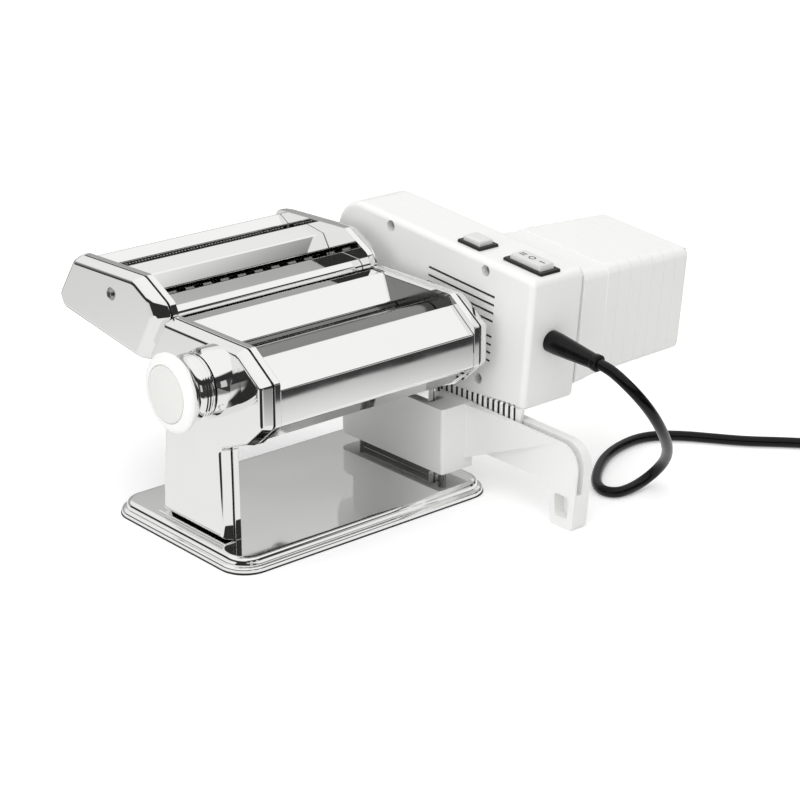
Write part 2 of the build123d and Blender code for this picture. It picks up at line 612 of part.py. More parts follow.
# ---- the motor unit's shells
def case_profile(grow=0.0):
    """Outline of the flat gearbox case, seen from the left."""
    drop = (CASE_KEEL_BACK - CASE_FRONT) * CASE_FALL
    points = ((CASE_FRONT, CASE_TOP), (CASE_BACK, CASE_TOP), (CASE_BACK, CASE_CHIN - 8.0),
              (CASE_KEEL_BACK, CASE_CHIN - drop), (CASE_FRONT, CASE_CHIN))
    face = outline(points, (5.0, 24.0, 22.0, 10.0, 3.0))
    return offset(face, grow) if grow else face


def switch_holes():
    """Openings through the case's top for the two switches."""
    cuts = []
    for centre, size in ((PULSE_CENTRE, PULSE_BEZEL), (ROCKER_CENTRE, ROCKER_BEZEL)):
        low = (centre[0] - size[0] / 2 + 1.5, centre[1] - size[1] / 2 + 1.5, CASE_TOP - 8.0)
        high = (centre[0] + size[0] / 2 - 1.5, centre[1] + size[1] / 2 - 1.5, CASE_TOP + 1.0)
        cuts.append(box(low, high))
    return Compound(cuts)


def skirt():
    """A tapering lip under the case's left wall that stands in the bracket's groove."""
    front = (CASE_FRONT, CASE_CHIN + 1.0)
    back_y = CASE_FRONT + RIB_PITCH * (RIB_COUNT + 2)
    back = (back_y, CASE_CHIN + 1.0 - (back_y - CASE_FRONT) * CASE_FALL)
    face = outline((front, back, (back[0], back[1] - SKIRT_DROP), (front[0] + 1.2, front[1] - SKIRT_DROP)))
    return across(face, CASE_X, CASE_X + SKIRT_WIDTH)


def case_inner():
    """The half of the gearbox case that faces the machine: vents, screw wells, ribbed air intake."""
    shell = across(case_profile(), CASE_X, CASE_SEAM)
    shell = fillet(shell.edges().group_by(Axis.X)[0], CASE_ROUND)
    shell -= across(case_profile(-CASE_WALL), CASE_X + CASE_WALL, CASE_SEAM)
    shell += skirt()
    for first in (UPPER_VENTS, LOWER_VENTS):
        for row in range(4):
            z = first - row * VENT_PITCH
            shell -= box((CASE_X - 1, VENT_END, z - VENT_WIDTH / 2),
                         (CASE_X + CASE_WALL + 1, VENT_END + VENT_LENGTH, z + VENT_WIDTH / 2))
    for rib in range(RIB_COUNT):
        y = CASE_FRONT + RIB_PITCH * (rib + 1.6)
        top = CASE_CHIN + 3.2 - (y - CASE_FRONT) * CASE_FALL
        shell -= box((CASE_X - 1, y, top - SKIRT_DROP - 1.0), (CASE_X + CASE_WALL + 0.5, y + RIB_SLOT, top))
    for well in CASE_SCREWS:
        shell += rod(well, 5.5, CASE_X + CASE_WALL, CASE_SEAM - FIT)
        shell -= rod(well, 3.6, CASE_X - 1, CASE_X + 6.0) + rod(well, 1.9, CASE_X, CASE_SEAM)
    shell -= rod((0, 0), OUTPUT_RADIUS + FIT, CASE_X - 1, CASE_X + CASE_WALL + 1)
    return MOTOR * (shell - switch_holes())


def case_outer():
    """The other half of the gearbox case, open towards the motor housing."""
    shell = across(case_profile(), CASE_SEAM + 0.05, CASE_OUT)
    shell = fillet(shell.edges().group_by(Axis.X)[-1], CASE_ROUND)
    shell -= across(case_profile(-CASE_WALL), CASE_SEAM, CASE_OUT - CASE_WALL)
    shell -= rod(MOTOR_AXIS, MOTOR_RADIUS + 1.0, CASE_OUT - CASE_WALL - 1, CASE_OUT + 1)
    for well in CASE_SCREWS:
        shell += rod(well, 4.5, CASE_SEAM + 0.05, CASE_OUT - CASE_WALL + 0.5)
        shell -= rod(well, 1.4, CASE_SEAM, CASE_OUT - 6.0)
    return MOTOR * (shell - switch_holes())


def case_screws():
    """Countersunk screws deep in their wells."""
    heads = [rod(well, 3.2, CASE_X + 4.4, CASE_X + 6.0) + rod(well, 1.3, CASE_X + 6.0, CASE_OUT - 8.0)
             for well in CASE_SCREWS]
    return MOTOR * Compound(heads)


def motor_housing():
    """The ribbed box over the motor: terraces that step in towards the far end."""
    length = HOUSING_END - CASE_OUT
    width = length / HOUSING_STEPS
    body = None
    for step in range(HOUSING_STEPS):
        inset = HOUSING_STEP_IN * step
        x = CASE_OUT + 0.05 + step * width
        floor = HOUSING_FLOOR + HOUSING_RISE * step / (HOUSING_STEPS - 1)
        low, high, top = CASE_FRONT + inset, HOUSING_BACK - inset, HOUSING_TOP - inset
        face = outline(((low, floor), (high, floor), (high, top), (low, top)), HOUSING_CORNER)
        slice_ = across(face, x, x + width)
        body = slice_ if body is None else body + slice_
    body = fillet(body.faces().sort_by(Axis.X)[-1].edges(), 3.0)
    last = HOUSING_STEP_IN * HOUSING_STEPS + CASE_WALL
    low, high = CASE_FRONT + last, HOUSING_BACK - last
    floor, top = HOUSING_FLOOR + HOUSING_RISE + CASE_WALL, HOUSING_TOP - last
    hollow = outline(((low, floor), (high, floor), (high, top), (low, top)), 4.0)
    return MOTOR * (body - across(hollow, CASE_OUT, HOUSING_END - CASE_WALL))


# ---- switches
def bezel(centre, size, cap):
    """A black frame on the case's top with a collar that goes down through it."""
    plate = Pos(centre[0], centre[1], CASE_TOP) * extrude(RectangleRounded(*size, 1.2), BEZEL_RISE)
    plate = chamfer(plate.edges().group_by(Axis.Z)[-1], 0.5)
    collar = Pos(centre[0], centre[1], CASE_TOP - 7.0) * extrude(
        Rectangle(size[0] - 3.0 - 2 * FIT, size[1] - 3.0 - 2 * FIT), 7.0)
    well = Pos(centre[0], centre[1], CASE_TOP - 5.8) * extrude(
        Rectangle(cap[0] + 2 * FIT, cap[1] + 2 * FIT), 12.0)
    return MOTOR * (plate + collar - well)


def pulse_button():
    low = CASE_TOP + BEZEL_RISE - PULSE_TRAVEL - 2.4
    cap = Pos(*PULSE_CENTRE, low) * extrude(Rectangle(*PULSE_CAP), CASE_TOP + CAP_RISE - low)
    return MOTOR * chamfer(cap.edges().group_by(Axis.Z)[-1], 0.8)


def rocker_switch():
    """A rocker whose ends are arcs about its own hinge, so it clears the frame as it tips."""
    x, y = ROCKER_CENTRE
    pivot = CASE_TOP
    reach = ROCKER_CAP[1] / 2
    disc = across(Pos(y, pivot) * Circle(reach), x - ROCKER_CAP[0] / 2, x + ROCKER_CAP[0] / 2)
    keep = box((x - 20, y - 40, pivot - 2.6), (x + 20, y + 40, pivot + CAP_RISE))
    cap = disc & keep
    return MOTOR * cap


# ---- the drive inside the motor unit
def train_layout():
    """Places of the idler: a pinion distance from the output, a wheel distance from the motor."""
    first = TRAIN_MODULE * (OUTPUT_TEETH + IDLER_PINION_TEETH) / 2
    second = TRAIN_MODULE * (IDLER_TEETH + MOTOR_PINION_TEETH) / 2
    span = math.hypot(*MOTOR_AXIS)
    bearing = math.atan2(MOTOR_AXIS[1], MOTOR_AXIS[0])
    bend = math.acos((first ** 2 + span ** 2 - second ** 2) / (2 * first * span))
    return first * math.cos(bearing + bend), first * math.sin(bearing + bend)


def mesh_phase(centre, other, teeth, other_teeth, other_phase):
    """Turn of a wheel at centre that sets its tooth in a gap of the wheel at other, in degrees."""
    toward = math.degrees(math.atan2(other[1] - centre[1], other[0] - centre[0]))
    seen = (toward + 180.0 - other_phase) * other_teeth / 360.0
    part = seen - math.floor(seen)
    return toward + (part + 0.5) * 360.0 / teeth


def gear_train():
    """Output gear with the drive shaft, two-step idler, and the motor's armature with its pinion."""
    idler = train_layout()
    add, ded = 0.8 * TRAIN_MODULE, 1.15 * TRAIN_MODULE
    out_x, square = WHEEL_X - 12.0, SOCKET - 2 * FIT
    output = gear(OUTPUT_TEETH, OUTPUT_TEETH / 2 * TRAIN_MODULE, add, ded, out_x, out_x + 8.0)
    output += rod((0, 0), OUTPUT_RADIUS, COVER_X + 2.0, WHEEL_X - FIT)
    output += across(Rectangle(square, square), JOURNAL_END - SOCKET_DEPTH + 1.0, COVER_X + 2.0)
    phase = mesh_phase(idler, (0, 0), IDLER_PINION_TEETH, OUTPUT_TEETH, 0.0)
    small = IDLER_PINION_TEETH / 2 * TRAIN_MODULE
    pinion = gear(IDLER_PINION_TEETH, small, add, ded, out_x - 0.5, WHEEL_X, phase)
    wheel = gear(IDLER_TEETH, IDLER_TEETH / 2 * TRAIN_MODULE, add, ded, WHEEL_X, WHEEL_X + 6.0, phase)
    double = Pos(0, *idler) * (pinion + wheel)
    double += rod(idler, 2.0, CASE_X + CASE_WALL + FIT, CASE_OUT - CASE_WALL - FIT)
    last = mesh_phase(MOTOR_AXIS, idler, MOTOR_PINION_TEETH, IDLER_TEETH, phase)
    small = MOTOR_PINION_TEETH / 2 * TRAIN_MODULE
    pinion = gear(MOTOR_PINION_TEETH, small, add, ded, WHEEL_X - 0.5, WHEEL_X + 7.0, last)
    can = CASE_OUT + 6.0
    armature = Pos(0, *MOTOR_AXIS) * pinion + rod(MOTOR_AXIS, 2.5, WHEEL_X + 7.0, can + MOTOR_LENGTH + 4.0)
    armature += rod(MOTOR_AXIS, MOTOR_RADIUS - 9.0, can + 10.0, can + MOTOR_LENGTH - 16.0)
    armature += rod(MOTOR_AXIS, 8.0, can + MOTOR_LENGTH - 14.0, can + MOTOR_LENGTH - 5.0)
    return MOTOR * output, MOTOR * double, MOTOR * armature


def motor_can():
    """The motor's steel can with a bearing hole in each end."""
    can = CASE_OUT + 6.0
    profile = ((can, 2.5 + RUN), (can, MOTOR_RADIUS), (can + MOTOR_LENGTH, MOTOR_RADIUS),
               (can + MOTOR_LENGTH, 2.5 + RUN), (can + MOTOR_LENGTH - 2.0, 2.5 + RUN),
               (can + MOTOR_LENGTH - 2.0, MOTOR_RADIUS - 6.0), (can + 2.0, MOTOR_RADIUS - 6.0),
               (can + 2.0, 2.5 + RUN))
    return MOTOR * turned(profile, MOTOR_AXIS)


# ---- the support bracket
def support_bracket():
    """A sleeve round the right leg with an arm whose groove takes the case's skirt."""
    arm_face = outline(((BLOCK_BACK, ARM_BACK_TOP), (BLOCK_FRONT, ARM_TOP), (ARM_FRONT, ARM_TOP - 3.0),
                        (ARM_FRONT + 5.0, 0), (ARM_FRONT + 23.0, 0), (ARM_FRONT + 26.0, 26.5),
                        (BLOCK_FRONT - 14.0, 27.5), (BLOCK_FRONT, 22.0), (BLOCK_BACK, 22.0)),
                       (0, 0, 15.0, 3.0, 5.0, 6.0, 8.0, 0, 0))
    arm = across(arm_face, ARM_X, ARM_OUT)
    core = outline(((BLOCK_BACK + 10, GROOVE_FLOOR), (ARM_FRONT + 9.5, GROOVE_FLOOR - 1.5),
                    (ARM_FRONT + 11.0, -5.0), (BLOCK_BACK + 10, -5.0)), (0, 7.0, 0, 0))
    groove = box((GROOVE_X, ARM_FRONT - 5, 24.0), (GROOVE_OUT, BLOCK_BACK + 5, ARM_TOP + 5)) - across(
        core, GROOVE_X, GROOVE_OUT)
    window = across(outline(((ARM_FRONT + 9.0, 7.0), (ARM_FRONT + 19.5, 7.0), (ARM_FRONT + 20.5, 21.5),
                             (ARM_FRONT + 8.0, 21.5)), 2.0), ARM_X - 1, ARM_OUT - 4.5)
    far_low = box((GROOVE_OUT, BLOCK_FRONT + 16, GROOVE_FLOOR), (ARM_OUT + 1, BLOCK_BACK + 5, ARM_TOP + 5))
    block_face = RectangleRounded(GROOVE_X - BLOCK_X, BLOCK_BACK - BLOCK_FRONT, 2.0)
    block = Pos((GROOVE_X + BLOCK_X) / 2, (BLOCK_BACK + BLOCK_FRONT) / 2, BLOCK_FOOT) * extrude(
        block_face, ARM_TOP + 0.5 - BLOCK_FOOT)
    lug = Pos((GROOVE_X + BLOCK_X) / 2, BLOCK_BACK + 3.0, BLOCK_FOOT) * extrude(
        RectangleRounded(GROOVE_X - BLOCK_X, 20.0, 7.0), 16.0)
    socket = box((WEB_X - FIT, LEG_FRONT_FOOT - FIT, 0), (COVER_X + FIT, LEG_BACK_FOOT + FIT, ARM_TOP + 5))
    return arm - groove - window - far_low + (block + lug - groove) - socket


def bracket_pins():
    """Rubber-tipped pins that rest the sleeve on the base."""
    x = WEB_X + 4.0
    low, high = BASE_HEIGHT, BLOCK_FOOT
    return Compound([Pos(x, y, low) * extrude(Circle(PIN_RADIUS), high - low)
                     for y in (BLOCK_FRONT + 8.0, BLOCK_BACK - PIN_INSET)])


# ---- cord
def strain_relief():
    """A tapering sleeve with a shoulder at the case and a ring at its tip."""
    front = CASE_FRONT
    profile = ((0, 0), (RELIEF_RADIUS, 0), (RELIEF_RADIUS, 6.0), (RELIEF_TIP_RADIUS, RELIEF_LENGTH - 4.0),
               (RELIEF_TIP_RADIUS + 0.6, RELIEF_LENGTH - 3.0), (RELIEF_TIP_RADIUS + 0.6, RELIEF_LENGTH),
               (0, RELIEF_LENGTH))
    sleeve = revolve(Plane.XZ * make_face(Polyline(*profile, close=True)), Axis.Z)
    return MOTOR * Pos(RELIEF_X, front, RELIEF_Z) * Rot(90, 0, 0) * sleeve


def cord_radii(route):
    """The largest arc that the two runs at each corner leave room for."""
    radii = []
    for before, here, after in zip(route, route[1:], route[2:]):
        run_in, run_out = Vector(*here) - Vector(*before), Vector(*after) - Vector(*here)
        half_turn = math.radians(run_in.get_angle(run_out) / 2)
        radii.append(0.45 * min(run_in.length, run_out.length) / math.tan(half_turn))
    return radii


def cord():
    route = [(RELIEF_X + x, y, z) for x, y, z in CORD_ROUTE]
    radii = cord_radii(route)
    path = FilletPolyline(*route, radius=radii)
    start = Plane(origin=path @ 0, z_dir=path % 0)
    tube = sweep(start * Circle(CORD_DIAMETER / 2), path=path)
    expected = math.pi * (CORD_DIAMETER / 2) ** 2 * path.length
    print("cord radii", [round(radius, 1) for radius in radii])
    print("cord length", round(path.length, 1), "volume ratio", round(tube.volume / expected, 4))
    return tube


def cord_coil():
    """The outer shape of four neat turns, two beside each other and two high."""
    inner, outer = COIL_MEAN_RADIUS - CORD_DIAMETER, COIL_MEAN_RADIUS + CORD_DIAMETER
    ring = extrude(Circle(outer) - Circle(inner), 2 * CORD_DIAMETER)
    ring = fillet(ring.edges(), CORD_DIAMETER / 2 - 0.2)
    return Pos(*COIL_CENTRE, 0) * ring


def plug():
    """A flat moulded plug that rests on the coil, with two round pins and a neck for the cord."""
    middle = PLUG_HEIGHT / 2
    body = Pos(PLUG_LENGTH / 2, 0, 0) * extrude(
        RectangleRounded(PLUG_LENGTH, PLUG_WIDTH, 2 * PLUG_ROUND), PLUG_HEIGHT)
    body = fillet(body.edges().group_by(Axis.Z)[-1] + body.edges().group_by(Axis.Z)[0], PLUG_ROUND)
    neck = Pos(PLUG_ROUND, 0, middle) * Rot(0, -90, 0) * extrude(
        Circle(PLUG_NECK_RADIUS), PLUG_NECK_LENGTH + PLUG_ROUND)
    pins = [Pos(PLUG_LENGTH, side * PLUG_PIN_SPACING / 2, middle) * Rot(0, 90, 0) * extrude(
        Circle(PLUG_PIN_RADIUS), PLUG_PIN_LENGTH) for side in (-1, 1)]
    seat = Pos(*COIL_CENTRE, 2 * CORD_DIAMETER) * Rot(0, 0, PLUG_PLACE) * Pos(COIL_MEAN_RADIUS, 0, 0)
    place = seat * Rot(0, 0, PLUG_TURN)
    return place * (body + neck), place * Compound(pins)


# ---- the whole machine, one file per piece
def pieces():
    wide_a, wide_b, fine_a, fine_b = cutter_axes()
    front_hood, rear_hood = hoods()
    guide, bridge, apron = cutter_sheets()
    output, idler, armature = gear_train()
    plug_body, plug_pins = plug()
    left_hole = rod(DIAL_AXIS, SHAFT_RADIUS + FIT, WEB_X, COVER_X + 1)
    right_hole = rod(REAR_AXIS, JOURNAL_RADIUS + FIT, FLANGE_X, COVER_X + 1)
    cutter_half = 180.0 / CUTTER_TEETH
    front_phase = mesh_phase(FRONT_AXIS, REAR_AXIS, GEAR_TEETH, GEAR_TEETH, 0.0)
    return {
        "base_plate": base_plate(),
        "base_pad": base_pad(),
        "left_side_plate": mirrored(side_plate()),
        "right_side_plate": side_plate(),
        "left_side_cover": mirrored(side_cover(left_hole)),
        "right_side_cover": side_cover(right_hole),
        "front_hood": front_hood,
        "rear_hood": rear_hood,
        "tie_rods": tie_rods(),
        "roller_bushes": roller_bushes(),
        "front_scraper": scraper(FRONT_AXIS, -1, 4.0),
        "rear_scraper": scraper(REAR_AXIS, 1, 4.0),
        "front_roller": front_roller(),
        "rear_roller": rear_roller(),
        "front_roller_gear": roller_gear(FRONT_AXIS, front_phase),
        "rear_roller_gear": roller_gear(REAR_AXIS, 0.0),
        "roller_carriers": roller_carriers(),
        "adjuster_shaft": adjuster_shaft(),
        "dial_boss": dial_boss(),
        "dial_collar": dial_collar(),
        "dial_ring": dial_ring(),
        "dial_cap": dial_cap(),
        "index_pin": index_pin(),
        "cutter_plates": both_sides(cutter_pan()),
        "cutter_caps": both_sides(cutter_cap()),
        "cutter_screws": cutter_screws(),
        "cutter_rear_guide": guide,
        "cutter_bridge": bridge,
        "cutter_apron": apron,
        "wide_comb": comb(WIDE_PAIR, 2 * WIDE_STRIP, COMB_TOOTH),
        "fine_comb": comb(FINE_PAIR, 3 * FINE_STRIP, COMB_TOOTH),
        "wide_roller_front": wide_roller(wide_a, 0.4, 0.0),
        "wide_roller_rear": wide_roller(wide_b, 0.4 + WIDE_STRIP, cutter_half),
        "fine_roller_front": fine_roller(fine_a, FINE_STRIP / 2, 0.0),
        "fine_roller_rear": fine_roller(fine_b, FINE_STRIP, cutter_half),
        "gearbox_case_inner": case_inner(),
        "gearbox_case_outer": case_outer(),
        "gearbox_screws": case_screws(),
        "motor_housing": motor_housing(),
        "output_gear": output,
        "idler_gear": idler,
        "motor_armature": armature,
        "motor_can": motor_can(),
        "pulse_bezel": bezel(PULSE_CENTRE, PULSE_BEZEL, PULSE_CAP),
        "pulse_button": pulse_button(),
        "rocker_bezel": bezel(ROCKER_CENTRE, ROCKER_BEZEL, ROCKER_CAP),
        "rocker_switch": rocker_switch(),
        "support_bracket": support_bracket(),
        "bracket_pins": bracket_pins(),
        "strain_relief": strain_relief(),
        "cord": cord(),
        "cord_coil": cord_coil(),
        "plug_body": plug_body,
        "plug_pins": plug_pins,
    }


os.makedirs("parts", exist_ok=True)
for name, shape in pieces().items():
    export_step(shape, "parts/" + name + ".step")
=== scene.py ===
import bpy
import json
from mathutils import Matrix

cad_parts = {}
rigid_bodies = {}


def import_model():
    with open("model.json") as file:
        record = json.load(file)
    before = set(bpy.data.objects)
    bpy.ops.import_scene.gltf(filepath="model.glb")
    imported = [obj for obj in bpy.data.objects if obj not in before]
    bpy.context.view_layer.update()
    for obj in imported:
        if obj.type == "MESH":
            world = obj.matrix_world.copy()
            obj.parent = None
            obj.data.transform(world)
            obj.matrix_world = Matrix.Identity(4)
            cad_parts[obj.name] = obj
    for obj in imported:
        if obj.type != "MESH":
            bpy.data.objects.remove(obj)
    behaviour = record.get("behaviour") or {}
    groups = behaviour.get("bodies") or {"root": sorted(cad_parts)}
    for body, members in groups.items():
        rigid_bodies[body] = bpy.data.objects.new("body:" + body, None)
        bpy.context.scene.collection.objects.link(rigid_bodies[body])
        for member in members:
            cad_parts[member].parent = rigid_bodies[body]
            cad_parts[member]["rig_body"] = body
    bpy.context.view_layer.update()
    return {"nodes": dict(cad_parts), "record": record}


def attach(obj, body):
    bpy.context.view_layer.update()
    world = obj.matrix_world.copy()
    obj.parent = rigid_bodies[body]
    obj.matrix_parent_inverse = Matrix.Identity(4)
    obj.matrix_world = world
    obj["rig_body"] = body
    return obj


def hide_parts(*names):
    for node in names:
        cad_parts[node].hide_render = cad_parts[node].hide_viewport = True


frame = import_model()

import json
import math

import bmesh
import bpy
from mathutils import Vector

bl_info = {
    "name": "Electric pasta maker",
    "version": (1, 0, 0),
    "blender": (4, 5, 0),
    "location": "3D View > Sidebar > Pasta maker",
    "description": "Finishes, cord, trim and studio for a motor-driven dough roller",
    "category": "Object",
}

MM = 0.001
DIAL_AXIS = (-37.580, 112.568)     # (y, z) in millimetres, as every pair of places below
FRONT_AXIS = (-36.492, 112.061)
REAR_AXIS = (-13.2, 101.2)
MOTOR_TILT = math.radians(5.11)

# Control points of the cord from the tip of its sleeve to the first turn of the coil.
CORD_ROUTE = (
    (117.0, -141.83, 102.55), (117.0, -149.5, 101.9), (118.6, -159.0, 97.2),
    (123.3, -169.0, 88.0), (134.5, -170.5, 74.5), (148.2, -166.4, 59.0),
    (164.5, -156.5, 43.0), (177.0, -146.0, 30.0), (184.6, -136.5, 19.0),
    (183.8, -128.6, 9.0), (174.6, -126.4, 4.2), (162.3, -127.6, 3.5),
    (152.2, -126.2, 3.5), (148.6, -117.6, 3.5), (155.5, -105.5, 3.5),
    (172.5, -91.2, 3.5), (191.5, -79.6, 3.5), (210.5, -73.4, 3.5),
    (229.3, -71.4, 3.5), (243.5, -76.0, 3.5), (256.4, -87.8, 3.5),
    (267.5, -103.2, 3.5), (280.5, -121.3, 3.5), (293.8, -134.6, 3.5),
    (306.8, -148.2, 3.5), (321.5, -168.0, 3.5), (331.0, -189.0, 3.5),
)
COIL_CENTRE = (369.3, -171.7)

# Outlines in (y, z). The head of a side cover is convex; its leg is drawn out of the bottom edge.
HEAD = ((17.5, 134.4), (-56.3, 134.4), (-78.7, 118.8), (-78.7, 92.7), (-61.8, 77.5), (-37.0, 67.5),
        (19.5, 77.5), (34.0, 92.7), (34.0, 109.8))
LEG_FOOT = ((-37.8, 9.6), (27.0, 9.6))
LEG_DRAW = 60.0           # how far the leg is drawn down before its two corners go to their places
CAP_RIM = ((113.0, 151.0), (44.0, 153.4), (21.8, 141.8), (18.0, 134.5), (40.5, 101.4), (127.0, 113.3),
           (132.3, 123.2))
CAP_FACE = ((111.9, 148.8), (47.0, 151.1), (32.9, 143.8), (26.9, 132.4), (44.5, 103.8), (125.4, 115.8),
            (129.4, 123.5))
CUTTER_SCREW = (70.4, 137.4)
SIDES = {-1: "left", 1: "right"}
FLANGE_END = 78.2         # distance in x of the plates' turned edges from the middle
COVER_RIM = 79.7          # the same of the rims of covers and caps
COVER_FACE = 87.0         # the same of their faces
COVER_WALL = 1.2
COVER_CORNER = 2.2        # round of each corner of a cover's outline
THROAT_X = 73.75


# ---- colours and sizes a user may change
def linear(code):
    """A colour written as sRGB hex, in the linear values that Blender mixes."""
    channels = [int(code[i:i + 2], 16) / 255 for i in (1, 3, 5)]
    return tuple(c / 12.92 if c <= 0.04045 else ((c + 0.055) / 1.055) ** 2.4 for c in channels)


def tint(name, code, description):
    return bpy.props.FloatVectorProperty(name=name, description=description, subtype="COLOR",
                                         size=3, min=0.0, max=1.0, default=linear(code))


class PastaColours(bpy.types.PropertyGroup):
    chrome: tint("Chrome", "#F2F2F1", "Bright plated sheet of the machine")
    steel: tint("Ground steel", "#858583", "Rollers, rods and blades")
    white_plastic: tint("White plastic", "#F6F6F4", "Motor case, bracket and dial ring")
    grey_plastic: tint("Pale grey plastic", "#E4E4E1", "Dial dome and switch caps")
    black_plastic: tint("Black plastic", "#121213", "Switch frames")
    black_rubber: tint("Black flex", "#060607", "Cord, sleeve and plug")
    nylon: tint("Nylon", "#E4DFCE", "Gears of the motor unit")
    bronze: tint("Bronze", "#B48A54", "Plain bearings")
    floor: tint("Floor", "#F6F6F6", "Studio floor")


class PastaSizes(bpy.types.PropertyGroup):
    cord_diameter: bpy.props.FloatProperty(
        name="Cord diameter", description="Outside diameter of the flex", default=7.0 * MM,
        min=4.0 * MM, max=10.0 * MM, subtype="DISTANCE", unit="LENGTH")
    edge_round: bpy.props.FloatProperty(
        name="Edge round", description="Broken edge of folded sheet and moulded parts",
        default=0.25 * MM, min=0.05 * MM, max=1.0 * MM, subtype="DISTANCE", unit="LENGTH")
    facets: bpy.props.IntProperty(
        name="Facets", description="Sides round a turned piece", default=96, min=24, max=256)


def colours():
    return bpy.context.scene.pasta_colours


def sizes():
    return bpy.context.scene.pasta_sizes


# ---- materials
def add_node(tree, kind, links=None, **settings):
    """Adds a node, sets its properties or sockets by name, and joins {input: (node, output)}."""
    node = tree.nodes.new(kind)
    for key, value in settings.items():
        if hasattr(node, key):
            setattr(node, key, value)
        else:
            node.inputs[key.replace("_", " ")].default_value = value
    for key, (source, output) in (links or {}).items():
        tree.links.new(source.outputs[output], node.inputs[key])
    return node


def new_material(name):
    material = bpy.data.materials.new(name)
    material.use_nodes = True
    tree = material.node_tree
    tree.nodes.clear()
    shader = add_node(tree, "ShaderNodeBsdfPrincipled")
    add_node(tree, "ShaderNodeOutputMaterial", {"Surface": (shader, "BSDF")})
    return material, tree, shader


def noise(tree, per_mm, detail=2.0, stretch=(1, 1, 1)):
    """Noise on the piece's own coordinates, with its grain given in cycles per millimetre."""
    place = add_node(tree, "ShaderNodeTexCoord")
    turn = add_node(tree, "ShaderNodeMapping", {"Vector": (place, "Object")})
    turn.inputs["Scale"].default_value = stretch
    grain = add_node(tree, "ShaderNodeTexNoise", {"Vector": (turn, "Vector")})
    grain.inputs["Scale"].default_value = per_mm / MM
    grain.inputs["Detail"].default_value = detail
    return grain


def ramp(tree, source, low, high, dark, light):
    """Carries a 0-1 value onto the range dark to light."""
    spread = add_node(tree, "ShaderNodeMapRange", {"Value": source})
    for key, value in (("From Min", low), ("From Max", high), ("To Min", dark), ("To Max", light)):
        spread.inputs[key].default_value = value
    return spread


def bump(tree, shader, source, strength, depth):
    relief = add_node(tree, "ShaderNodeBump", {"Height": source})
    relief.inputs["Strength"].default_value = strength
    relief.inputs["Distance"].default_value = depth
    tree.links.new(relief.outputs["Normal"], shader.inputs["Normal"])


def mottled(tree, shader, source, colour, spread):
    """A base colour that wanders a little either side of its middle value."""
    mix = add_node(tree, "ShaderNodeMix", data_type="RGBA", blend_type="MIX")
    tree.links.new(source[0].outputs[source[1]], mix.inputs["Factor"])
    mix.inputs["A"].default_value = (*[c * (1 - spread) for c in colour], 1)
    mix.inputs["B"].default_value = (*[min(1.0, c * (1 + spread)) for c in colour], 1)
    tree.links.new(mix.outputs["Result"], shader.inputs["Base Color"])


def grained(name, colour, spread, grain, rough, relief, wave=None, **settings):
    """A finish whose colour, roughness and relief follow one grain, or whose relief has its own."""
    material, tree, shader = new_material(name)
    for key, value in settings.items():
        shader.inputs[key.replace("_", " ")].default_value = value
    source = (noise(tree, *grain), "Fac")
    mottled(tree, shader, source, colour, spread)
    gloss = ramp(tree, source, 0.3, 0.7, *rough)
    tree.links.new(gloss.outputs["Result"], shader.inputs["Roughness"])
    strength, depth = relief
    bump(tree, shader, (noise(tree, *wave), "Fac") if wave else source, strength, depth * MM)
    return material


def polished_chrome():
    """Chromium plate on pressed steel: a mirror with a faint wander from the press and buffing."""
    return grained("polished_chrome_plate", colours().chrome, 0.012, (0.05, 3.0), (0.035, 0.06),
                   (0.25, 0.8), wave=(0.012, 1.0), Metallic=1.0)


def ground_steel():
    """Rollers ground between centres: fine rings round X that stretch each highlight."""
    return grained("centreless_ground_steel", colours().steel, 0.05, (0.6, 2.0, (4.0, 0.05, 0.05)),
                   (0.12, 0.24), (0.15, 0.02), Metallic=1.0, Anisotropic=0.4)


def machined_steel():
    """Zinc-plated machined steel for screws, pins and gears: duller, with a fine speckle."""
    return grained("zinc_plated_steel", [1.5 * c for c in colours().steel], 0.08, (1.5, 3.0),
                   (0.22, 0.36), (0.1, 0.02), Metallic=1.0)


def bronze():
    """Oil-filled sintered bronze: warm, porous and half matt."""
    return grained("sintered_bronze", colours().bronze, 0.15, (3.0, 4.0), (0.3, 0.5), (0.25, 0.05),
                   Metallic=1.0)


def moulded(name, colour, gloss, grain, relief):
    """Injection-moulded ABS: an even colour, a soft gloss and the mould's fine spark grain."""
    return grained(name, colour, 0.012, (grain, 3.0), (gloss - 0.02, gloss + 0.02), (relief, 0.03),
                   IOR=1.53)


def flex_pvc():
    """Soft PVC of the cord and plug: black with a broad shine and a slight drawn ripple."""
    return grained("flexible_pvc", colours().black_rubber, 0.2, (0.35, 2.0), (0.2, 0.28), (0.2, 0.05),
                   IOR=1.54, Specular_IOR_Level=0.22)


def make_finishes():
    """One material for each finish of the part, by the record's slot."""
    c = colours()
    return {
        "polished_chrome": polished_chrome(),
        "ground_steel": ground_steel(),
        "machined_steel": machined_steel(),
        "bronze_bush": bronze(),
        "white_abs": moulded("satin_white_abs", c.white_plastic, 0.38, 1.2, 0.05),
        "grey_abs": moulded("satin_grey_abs", c.grey_plastic, 0.3, 1.2, 0.01),
        "black_abs": moulded("grained_black_abs", c.black_plastic, 0.42, 2.0, 0.3),
        "gear_nylon": moulded("natural_nylon", c.nylon, 0.45, 0.8, 0.1),
        "motor_steel": machined_steel(),
        "black_pvc": flex_pvc(),
        "nickel_pin": machined_steel(),
        "pad_rubber": moulded("moulded_rubber", c.black_rubber, 0.7, 1.5, 0.3),
    }


FINISHES = {}
SLOT_OF = {part["node"]: part["material_slot"] for part in frame["record"]["subparts"]}


def body_of(node):
    """The moving body that carries a solid."""
    return frame["nodes"][node]["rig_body"]


